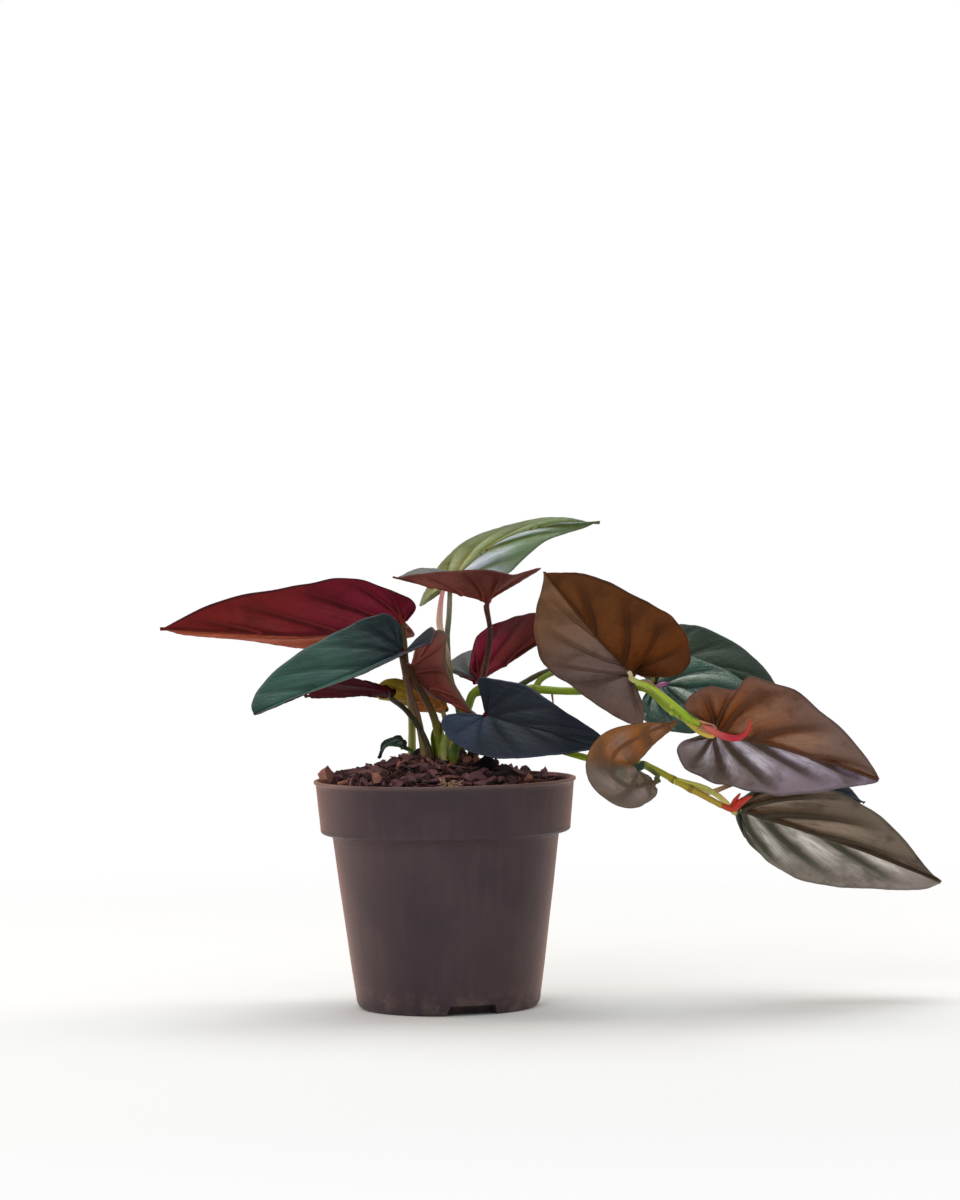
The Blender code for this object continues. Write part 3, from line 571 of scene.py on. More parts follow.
def soil_bed():
    """The bed as a closed lump. It gets smoother towards the pot, so it meets the wall in a clean line."""
    shape = bmesh.new()
    bmesh.ops.create_grid(shape, x_segments=SOIL_CELLS, y_segments=SOIL_CELLS, size=1.0)
    for vert in shape.verts:
        u, v = vert.co.x, vert.co.y
        x = SOIL_RADIUS * u * math.sqrt(1 - v * v / 2)
        y = SOIL_RADIUS * v * math.sqrt(1 - u * u / 2)
        inside = min(1.0, (1 - math.hypot(x, y) / SOIL_RADIUS) * ROUGH_RISE)
        rough = crumbs(x, y) * (ROUGH_AT_WALL + (1 - ROUGH_AT_WALL) * inside)
        vert.co = Vector((x, y, soil_height(x, y) + rough)) * MM
    for radius, level in SOIL_SIDE:
        rim = [edge for edge in shape.edges if edge.is_boundary]
        made = bmesh.ops.extrude_edge_only(shape, edges=rim)["geom"]
        for vert in (item for item in made if isinstance(item, bmesh.types.BMVert)):
            flat = Vector((vert.co.x, vert.co.y)).normalized() * radius * MM
            vert.co = Vector((flat.x, flat.y, level * MM))
    bmesh.ops.holes_fill(shape, edges=[edge for edge in shape.edges if edge.is_boundary], sides=0)
    bmesh.ops.recalc_face_normals(shape, faces=shape.faces)
    return shape


soil_finish, tree, shader = new_finish("moist_peat", 0.95, 0.1)
spot = place_on(tree)
grain = cloud(tree, spot, 900.0, 6.0, 0.7)
clumps = cloud(tree, spot, 170.0, 5.0, 0.65)
colour = blend(tree, ramp(tree, clumps, 0.35, 0.66), paint(30, 19, 20), paint(104, 68, 68))
colour = blend(tree, ramp(tree, grain, 0.55, 0.75, 0.0, 0.7), colour, paint(164, 112, 108))
tree.links.new(colour, shader.inputs["Base Color"])
first = relief(tree, shader, clumps, 0.0016, 0.9)
relief(tree, shader, grain, 0.0005, 0.9, first)

bed = new_piece("soil_bed", soil_bed(), soil_finish)
dress(bed, "soil", "soil")
print("soil bed faces:", len(bed.data.polygons))

# %% [markdown]
# Bark comes in splinters and flakes: longer than wide, thin, split along the grain, with broken corners. Each piece
# starts as a cube whose edges are cut in two, is pulled to a splinter, and roughened. A few large pieces have their
# places in a table. The others are drawn by a seeded rule: thin chips first, then thicker lumps that stand up and
# break the skyline. A number on each piece, its tone, picks its colour from dark wet brown through red brown to the
# orange of a fresh break. The large pieces at the left have high tones, which paint warm light falling on them.

# %% Bark
Bark = namedtuple("Bark", "place size turn tilt lift tone")

# The pieces at the left have high tones, up to orange at (-54, -9): their lighter colour is painted warm light from
# the lamp on that side, laid over the bark's own colours.
BARK_PIECES = (
    Bark((-40, -8), (17, 8, 2.6), 20, 16, 1.0, 0.62), Bark((-46, 6), (13, 7, 3), 70, -10, 1.0, 0.45),
    Bark((-33, -16), (13, 6, 3), -30, 12, 0.6, 0.75), Bark((-54, -9), (8, 7, 4), 85, 62, 4.0, 0.95),
    Bark((24, -26), (10, 6, 3), 40, 10, 1.0, 0.15), Bark((38, -12), (12, 6, 2.5), -15, 8, 1.0, 0.2),
    Bark((30, 24), (14, 7, 3), 60, -8, 1.0, 0.3), Bark((-22, 34), (13, 7, 3), 10, 10, 0.6, 0.4),
    Bark((6, 42), (12, 6, 3), -40, 8, 0.6, 0.5), Bark((44, 14), (10, 6, 3), 30, -12, 0.6, 0.3),
    Bark((-14, -38), (11, 6, 3), 5, 10, 0.6, 0.55), Bark((16, -42), (9, 6, 2.5), -60, 8, 0.6, 0.6),
    Bark((19, -16), (9, 8, 6), 15, 60, 3.0, 0.05), Bark((27, -20), (8, 6, 5), 60, 40, 2.0, 0.1),
)
CHIPS = 700
LUMPS = 60
CHIP_REACH = 54.0
BARK_SEED = 23
ROUGHNESS = 0.28
SPLINTER_TAPER = 0.7


def roughened(vert, amount, seed):
    """Moves a point by noise that is the same for every run."""
    vert.co += noise.noise_vector(vert.co * 1.7 + Vector((seed, seed * 0.37, 0.0))) * amount


def spot_on_soil(draw, reach):
    """A drawn place on the soil, evenly spread."""
    radius, angle = reach * math.sqrt(draw.random()), draw.uniform(0, 2 * math.pi)
    return radius * math.cos(angle), radius * math.sin(angle)


def drawn_tone(draw, middle, spread):
    """A tone near the middle one, held between 0 and 1."""
    return min(1.0, max(0.0, draw.gauss(middle, spread)))


def add_part(target, part, tone):
    """Adds a small closed shape to a bigger one and marks its points with a tone."""
    layer = part.verts.layers.float.new("tone")
    for vert in part.verts:
        vert[layer] = tone
    mesh = as_mesh("part", part)
    target.from_mesh(mesh)
    bpy.data.meshes.remove(mesh)


def add_bark(target, bark, number):
    """One piece of bark at its place on the soil."""
    shape = bmesh.new()
    bmesh.ops.create_cube(shape, size=1.0)
    bmesh.ops.subdivide_edges(shape, edges=shape.edges, cuts=1, use_grid_fill=True)
    turn = Euler([math.radians(angle) for angle in (bark.tilt, -bark.tilt * 0.6, bark.turn)]).to_matrix()
    size = Vector(bark.size)
    base = Vector((*bark.place, soil_height(*bark.place) + bark.lift))
    for vert in shape.verts:
        taper = 1.0 - SPLINTER_TAPER * abs(vert.co.x)
        vert.co = Vector((vert.co.x, vert.co.y * taper, vert.co.z * (0.6 + 0.4 * taper)))
        roughened(vert, ROUGHNESS, number * 3.1)
        vert.co = (base + turn @ (vert.co * size)) * MM
    add_part(target, shape, bark.tone)


def drawn_chip(draw):
    """A thin chip. Two out of three lie nearly flat."""
    place = spot_on_soil(draw, CHIP_REACH)
    long = draw.choice((2.0, 3.0, 4.5, 7.5)) * draw.uniform(0.7, 1.3)
    size = (long, long * draw.uniform(0.2, 0.5), draw.uniform(0.6, 1.6))
    tilt = draw.uniform(-26, 26) if draw.random() < 0.66 else draw.uniform(40, 75)
    tone = drawn_tone(draw, 0.36, 0.28)
    return Bark(place, size, draw.uniform(0, 180), tilt, draw.uniform(0.3, 1.9), tone)


def drawn_lump(draw):
    """A thick piece that stands up."""
    place = spot_on_soil(draw, CHIP_REACH)
    size = (draw.uniform(3.5, 7), draw.uniform(2.5, 5), draw.uniform(1.6, 3.6))
    tone = drawn_tone(draw, 0.45, 0.3)
    return Bark(place, size, draw.uniform(0, 180), draw.uniform(15, 75), draw.uniform(0.8, 2.2), tone)


def bark_pile():
    """All the bark as one mesh."""
    shape = bmesh.new()
    noise.seed_set(BARK_SEED)  # Blender seeds its vector noise by the clock.
    draw = random.Random(BARK_SEED)
    for number, bark in enumerate(BARK_PIECES):
        add_bark(shape, bark, number)
    for number in range(CHIPS):
        add_bark(shape, drawn_chip(draw), number + 100)
    for number in range(LUMPS):
        add_bark(shape, drawn_lump(draw), number)
    return shape


bark_finish, tree, shader = new_finish("wet_bark", 0.8, 0.2)
spot = place_on(tree)
tone = attribute(tree, "tone")
grain = cloud(tree, spot, 700.0, 5.0, 0.7)
tone = sum_of(tree, "ADD", tone, sum_of(tree, "MULTIPLY_ADD", grain, 0.5, -0.25))
colour = blend(tree, ramp(tree, tone, 0.1, 0.45), paint(28, 19, 21), paint(112, 78, 82))
# Higher tones are lighter and more orange. On the large pieces at the left this is painted warm light.
colour = blend(tree, ramp(tree, tone, 0.68, 0.92), colour, paint(158, 108, 98))
colour = blend(tree, ramp(tree, tone, 0.95, 1.1), colour, paint(206, 150, 96))
tree.links.new(colour, shader.inputs["Base Color"])
relief(tree, shader, grain, 0.0005, 0.8)

bark_pieces = new_piece("bark_pieces", bark_pile(), bark_finish)
bark_pieces.data.set_sharp_from_angle(angle=math.radians(40))
dress(bark_pieces, "soil")
print("bark faces:", len(bark_pieces.data.polygons))

# %% [markdown]
# Coconut fibres and fine roots lie over and through the bark. Each one is a thin tube laid along a short curve that
# rises from the soil and falls back. A pale tangle of roots hangs at the front lip.

# %% Tubes
CREASE_WIDTH = 0.45


def tube_frames(route):
    """Two directions across a route at each of its points, carried along it without a twist."""
    ahead = unit(np.gradient(route, axis=0))
    start = np.cross(ahead[0], (0.0, 0.0, 1.0) if abs(ahead[0][2]) < 0.9 else (1.0, 0.0, 0.0))
    side = [start / np.linalg.norm(start)]
    for way in ahead[1:]:
        turned_side = side[-1] - way * np.dot(side[-1], way)
        side.append(turned_side / np.linalg.norm(turned_side))
    side = np.array(side)
    return side, np.cross(ahead, side)


def tube(route, radii, sides, oval=1.0, crease=0.0, marks=None):
    """A closed round tube along a route. oval squeezes it one way, and crease sinks a groove along it."""
    side, up = tube_frames(route)
    angle = np.linspace(0, 2 * math.pi, sides + 1)[None, :, None]
    groove = 1.0 - crease * np.exp(-((angle - math.pi) / CREASE_WIDTH) ** 2)
    wide = np.asarray(radii)[:, None, None]
    places = route[:, None] + wide * groove * (np.cos(angle) * side[:, None] + oval * np.sin(angle) * up[:, None])
    return laid_grid(places, closed=True, marks=marks)


# %% Fibres and fine roots
FIBRES = 520
FIBRE_SEED = 5
FIBRE_REACH = 56.0
FIBRE_POINTS = 7
ROOT_TANGLE = 44
ROOT_PLACE = (3.4, -56.6, 105.0)


def fibre_curve(draw, place, length, rise):
    """A short bent curve over the soil."""
    way = draw.uniform(0, 2 * math.pi)
    bend = draw.uniform(-0.35, 0.35)
    points = []
    for part in (0.0, 0.33, 0.66, 1.0):
        x = place[0] + math.cos(way + bend * part * 3) * length * part
        y = place[1] + math.sin(way + bend * part * 3) * length * part
        reach = math.hypot(x, y)
        if reach > FIBRE_REACH:
            x, y = x * FIBRE_REACH / reach, y * FIBRE_REACH / reach
        points.append((x, y, soil_height(x, y) + 0.6 + rise * math.sin(math.pi * part)))
    return even_route(points, FIBRE_POINTS)[0]


def fibre_mat():
    """Fibres all over the soil, then the tangle, whose roots wander from one place and hang a little."""
    shape = bmesh.new()
    draw = random.Random(FIBRE_SEED)
    for _ in range(FIBRES):
        place = spot_on_soil(draw, 53.0)
        route = fibre_curve(draw, place, draw.uniform(4, 16), draw.choice((0.4, 0.8, 1.4, 2.2)))
        radii = np.linspace(draw.uniform(0.1, 0.24), 0.06, FIBRE_POINTS)
        add_part(shape, tube(route, radii, 5), drawn_tone(draw, 0.4, 0.2))
    for _ in range(ROOT_TANGLE):
        points = [Vector(ROOT_PLACE) + Vector([draw.gauss(0, spread) for spread in (2.6, 0.8, 1.6)])]
        for _ in range(3):
            points.append(points[-1] + Vector((draw.gauss(0, 1.1), draw.gauss(0, 0.3), draw.gauss(-0.2, 0.9))))
        radii = np.linspace(0.32, 0.16, FIBRE_POINTS)
        add_part(shape, tube(even_route(points, FIBRE_POINTS)[0], radii, 5), 0.92)
    return shape


fibre_finish, tree, shader = new_finish("coconut_fibre", 0.85, 0.2)
tone = attribute(tree, "tone")
colour = blend(tree, ramp(tree, tone, 0.1, 0.6), paint(48, 30, 30), paint(116, 76, 70))
colour = blend(tree, ramp(tree, tone, 0.7, 0.95), colour, paint(168, 140, 112))
tree.links.new(colour, shader.inputs["Base Color"])

fibres = new_piece("coconut_fibres", fibre_mat(), fibre_finish)
dress(fibres, "soil")
print("fibre faces:", len(fibres.data.polygons))

# %% [markdown]
# ## The leaves
#
# A young syngonium leaf is an arrowhead: a midrib, side veins that curve to the margin, and two lobes beside the
# stalk. Each row of the grid is one line that runs the way a side vein runs, from the midrib out to the margin, so
# veins are simply some of the rows. The tables say where each midrib runs, the way the upper side looks, how wide
# each half is and how far it folds. Most of them repeat the frame's own values, and a few outlines are set finer
# within a few millimetres, so every fine leaf lies where its solid is.

# %% The leaf's plan
# Where on the midrib each side vein starts, as a part of its length, from the lobe to the tip.
USUAL_STARTS = (0, 0, 0, 0, 0, 0, 0.02, 0.07, 0.17, 0.36, 0.62, 1)
HOOD_STARTS = (0, 0, 0, 0, 0, 0, 0.03, 0.1, 0.22, 0.42, 0.68, 1)
ROUND_STARTS = (0, 0, 0, 0, 0.01, 0.02, 0.04, 0.08, 0.16, 0.32, 0.58, 1)


def half_plan(along, across, starts=USUAL_STARTS):
    """Half of a leaf: how far along its length and across its half width each side vein meets the margin."""
    return tuple(zip(along, across, starts))


def both(value):
    """The same for both halves of a leaf, or for its base and its tip."""
    return value, value


ARROW_PLAN = half_plan(
    (-0.05, -0.15, -0.2, -0.14, 0, 0.15, 0.32, 0.5, 0.68, 0.84, 0.94, 1),
    (0.09, 0.27, 0.5, 0.76, 0.94, 1, 0.95, 0.77, 0.5, 0.23, 0.07, 0))
OVAL_PLAN = half_plan(
    (0.005, 0.02, 0.05, 0.1, 0.18, 0.29, 0.42, 0.56, 0.71, 0.85, 0.94, 1),
    (0.08, 0.26, 0.46, 0.67, 0.86, 0.98, 0.98, 0.83, 0.57, 0.28, 0.09, 0), ROUND_STARTS)
# For a leaf that is broad at its base and soon narrows.
HOOD_PLAN = half_plan(
    (-0.05, -0.15, -0.2, -0.14, 0, 0.15, 0.32, 0.5, 0.68, 0.84, 0.94, 1),
    (0.09, 0.27, 0.5, 0.76, 0.94, 1, 0.78, 0.52, 0.33, 0.18, 0.07, 0), HOOD_STARTS)
# For a long half that rises slowly from its tip.
LONG_PLAN = half_plan(
    (-0.02, -0.06, -0.04, 0.02, 0.1, 0.2, 0.33, 0.48, 0.65, 0.8, 0.92, 1),
    (0.08, 0.26, 0.46, 0.67, 0.86, 0.98, 1, 0.93, 0.73, 0.47, 0.21, 0))
# For a half without a lobe.
SLIM_PLAN = half_plan(
    (0.005, 0.015, 0.03, 0.07, 0.13, 0.22, 0.34, 0.5, 0.68, 0.84, 0.94, 1),
    (0.05, 0.14, 0.25, 0.38, 0.56, 0.8, 0.94, 0.78, 0.5, 0.23, 0.07, 0))
# For a half that stays wide to its tip.
FULL_PLAN = half_plan(
    (0.01, 0.03, 0.05, 0.08, 0.12, 0.2, 0.31, 0.46, 0.64, 0.82, 0.94, 1),
    (0.04, 0.09, 0.17, 0.35, 0.57, 0.8, 0.95, 1, 0.87, 0.59, 0.29, 0), ROUND_STARTS)
# For a half with a wide lobe.
WING_PLAN = half_plan(
    (-0.03, -0.11, -0.19, -0.2, -0.08, 0.12, 0.32, 0.5, 0.68, 0.84, 0.94, 1),
    (0.09, 0.28, 0.54, 0.82, 0.98, 1, 0.93, 0.76, 0.5, 0.23, 0.07, 0))
# For a half whose lobe ends in a corner.
CORNER_PLAN = half_plan(
    (-0.03, -0.08, -0.14, -0.17, -0.06, 0.12, 0.3, 0.46, 0.65, 0.82, 0.93, 1),
    (0.1, 0.28, 0.49, 0.68, 0.82, 0.9, 0.78, 0.62, 0.43, 0.25, 0.1, 0))
# For a half with a small lobe and a dent between it and the rest.
DENT_PLAN = half_plan(
    (-0.05, -0.16, -0.2, -0.14, -0.03, 0.07, 0.14, 0.36, 0.58, 0.8, 0.94, 1),
    (0.09, 0.2, 0.36, 0.6, 0.7, 0.72, 0.99, 0.95, 0.71, 0.47, 0.2, 0))
# For a half whose veins run nearly straight out.
OUTWARD_PLAN = tuple((along, across, along ** 1.3) for along, across, _ in SLIM_PLAN)

VEIN_BEND = 1.45
WAVES = 3.0
RIPPLES = 9.0
WAVE_SHIFT = 0.15

USUAL_VEINS = (0.12, 0.3, 0.46, 0.62, 0.78, 0.9)
STRAIGHT_VEINS = (0.2, 0.38, 0.55, 0.71, 0.86)

# midrib: points along it. face: the way the upper side looks, at the base and at the tip. upper and under: the finish
# of each side. slot: the name of its material slot. half, fold, plan, curl, lobes and blunt are for the left and the
# right half: its width, the angle that it folds up by, its outline, the angle that it bends by on its way out, the
# length of its lobe, and how full its end is. lift: how far the lobes rise for each millimetre that they go back.
# wave and quilt: the height of the margin's waves and of the tissue between the veins. veins: the rows that are side
# veins. seat: the side of the blade that the stalk lies on. ripple: the share by which the margin goes in and out.
Leaf = namedtuple("Leaf", "midrib face half fold upper under slot plan curl lobes lift blunt wave veins quilt seat "
                          "ripple",
                  defaults=(both(ARROW_PLAN), (0, 0), (1, 1), 0.0, (0, 0), 1.0, USUAL_VEINS, 1.0, "under", 0.008))

LEAVES = {
    "leaf_far_left": Leaf(
        ((-18, 10, 176), (-61, 14, 172), (-100, 17, 174), (-131, 18, 176)), both((0, 0.7, 0.7)), (24.5, 25), (40, 28),
        "dark_green", "wine_lit", "crimson", (LONG_PLAN, ARROW_PLAN), lobes=(1.0, 0.15), blunt=(0, 0.1), quilt=1.8),
    "leaf_left_front": Leaf(
        ((-18, -8, 164), (-46, -30, 153), (-71, -46, 144), (-84, -56, 139)), both((0, -0.6, 0.8)), (25, 22), (40, 30),
        "sea_green", "wine", "green", lobes=(0.42, 0.25), lift=1.1, blunt=(0.6, 0.6), wave=0.5, quilt=0.5),
    "leaf_left_low": Leaf(
        ((-23, -2, 146), (-44, 28, 143), (-66, 55, 142)), both((0, 0.5, 0.85)), (18, 12), (12, 12), "dark_green",
        "wine", "crimson", both(SLIM_PLAN), quilt=0.6),
    "leaf_centre": Leaf(
        ((-15, 4, 156), (-9, 2, 150), (1, -3, 142), (18.5, -10, 132)), ((0, 1, 0), (0.4, 0.4, 0.7)), (11, 26.5),
        (50, 0), "sea_green", "hood", "crimson", both(HOOD_PLAN), curl=(0, -40), lobes=(0.1, 0.6), quilt=0.5),
    "leaf_top": Leaf(
        ((2, 45, 193), (12, 47, 202), (25, 50, 212), (47, 54, 220), (75, 55, 222)),
        ((-0.2, -0.65, 0.75), (0, -0.65, 0.75)), (17, 18), (-12, -12), "bright_green", "pale_green", "light_green",
        (ARROW_PLAN, SLIM_PLAN), lobes=(0.9, 0.2), lift=-0.3, quilt=1.2),
    "leaf_upper_front": Leaf(
        ((21, -5, 187), (0, -24, 193), (-21, -45, 199)), both((0.1, 0.16, 0.98)), (19, 21), (34, 38), "grey_green",
        "russet", "crimson", (WING_PLAN, ARROW_PLAN), lobes=(1.6, 0.8), lift=0.5, wave=0.3, quilt=0.5),
    "leaf_back_red": Leaf(
        ((15, 25, 149), (36, 49, 160), (65, 78, 178)), both((-0.6, 0.5, 0.4)), (20, 26), (85, 5), "grey_green",
        "wine_bright", "crimson", lobes=(0.1, 0.5), quilt=1.8),
    "leaf_brown_high": Leaf(
        ((86, -20, 153), (67, -50, 174), (46, -85, 201)), both((-0.1, 0.55, 0.83)), (32, 33), (12, 10), "dark_green",
        "bronze", "brown", lobes=(1.0, 2.3), blunt=(0.4, 0.1), quilt=2.0, veins=(0.14, 0.34, 0.52, 0.68, 0.84)),
    "leaf_slate_front": Leaf(
        ((19, -18, 135), (39, -31, 129.5), (59, -46, 125.5), (75, -57, 123)), both((0, -0.75, 0.66)), (23.5, 25),
        (7, 7), "slate", "wine", "slate", (CORNER_PLAN, ARROW_PLAN), lobes=(1.0, 1.0), lift=0.3, blunt=(0, 0.2),
        wave=0.3, quilt=0.6),
    "leaf_curled": Leaf(
        ((93.5, -46, 104.5), (83, -52, 103.5), (75, -58, 110.5), (77, -60, 119.5), (89, -54, 126.5), (105, -44, 132)),
        ((0.2, 0.85, 0.4), (0.1, 0.85, 0.4)), (16, 13), (4, 10), "dark_green", "copper", "brown",
        (OUTWARD_PLAN, ARROW_PLAN), lobes=(0, 0.3), blunt=(0.45, 0), wave=0.3, quilt=0.8, seat="over"),
    "leaf_right_back": Leaf(
        ((107, 56, 155), (136, 58, 148), (164, 56, 131)), both((0, -0.6, 0.8)), (25, 24), (10, 10), "forest", "wine",
        "green"),
    "leaf_right_glossy": Leaf(
        ((99, 31, 146), (130, 29, 140), (155, 22, 122)), both((0, -0.6, 0.8)), (19, 27), (10, -10), "forest_gloss",
        "wine", "green", lobes=(1, 0.4), blunt=(0.2, 0.2), quilt=2.2),
    "leaf_purple_right": Leaf(
        ((123, -27, 126), (155, -32, 118), (196, -42, 104)), both((0.1, 0.9, 0.4)), (28, 30), (8, 8), "dark_green",
        "lavender", "brown", (ARROW_PLAN, DENT_PLAN), blunt=(0.25, 0), wave=1.5,
        veins=(0.12, 0.28, 0.44, 0.6, 0.76, 0.9), quilt=3.2, ripple=0.018),
    "leaf_bottom_right": Leaf(
        ((133, -6, 90), (182, -2, 73), (228, 2, 54)), both((0.1, 0.75, 0.65)), (34, 27), (8, 8), "dark_green",
        "silver", "brown", (FULL_PLAN, OVAL_PLAN), blunt=(0, 0.1), quilt=3.2, veins=STRAIGHT_VEINS),
    "leaf_hidden_purple": Leaf(
        ((143, 20, 105), (169, 20, 98), (195, 20, 89.5)), both((0, -0.3, 0.95)), (18, 18), (10, 10), "slate", "plum",
        "crimson", blunt=(0.4, 0.4)),
    "leaf_small_curled": Leaf(
        ((-18, 0, 122), (-22, -6, 124), (-27, -12, 122), (-30, -16, 116)), ((-0.1, -0.9, 0.4), (-0.5, -0.8, 0.3)),
        (6, 1.5), (10, 10), "forest_gloss", "forest", "green", both(OVAL_PLAN), quilt=0.3, veins=STRAIGHT_VEINS),
    "leaf_young": Leaf(
        ((1, 19, 136.5), (-15, 22, 141.5), (-33, 23, 145)), both((0.2, 0.7, 0.6)), (10.5, 9), (15, 15), "pale_green",
        "amber", "light_green", both(OVAL_PLAN), blunt=(0.6, 0.6), quilt=0.4, veins=STRAIGHT_VEINS),
}
print("leaves in the table:", len(LEAVES))

# %% [markdown]
# A leaf's finish has a colour for each half, at the base and at the tip. They are partly the leaf's own colour and
# partly painted light: on some leaves, light that falls through the thin blade on one half, and a reflection of the
# light from above on the other. Towards the margin it turns to another. The mesh carries three numbers on each point:
# how near it is to a vein, how high it lies on the ridge between two veins, and how far along the midrib it lies. The
# valleys take a dark colour as painted shade, which also lies in random blotches, the ridges a painted highlight in
# patches, and the veins a fine line. The finest net of veins comes from the borders between cells.

# %% Leaf finishes
# left and right: the colours of a half at its base and at its tip, partly painted light. edge: the colour towards
# the margin. Then the valleys' dark colour and the ridges' gleam, a colour for each half: the dark one is painted
# shade in the valleys and also random blotches, and the gleam is a painted highlight. rim: the line on the margin.
# Each _part is the share of the colour before it, and the rim has one for each half. rough and shine set the shader.
# turn: where along the midrib the base's colour starts to give way to the tip's, and where it has.
Skin = namedtuple("Skin", "left right edge edge_part deep deep_part gleam gleam_part vein vein_part rim rim_part "
                          "rough shine turn", defaults=(0.42, 0.14, (0.05, 0.7)))

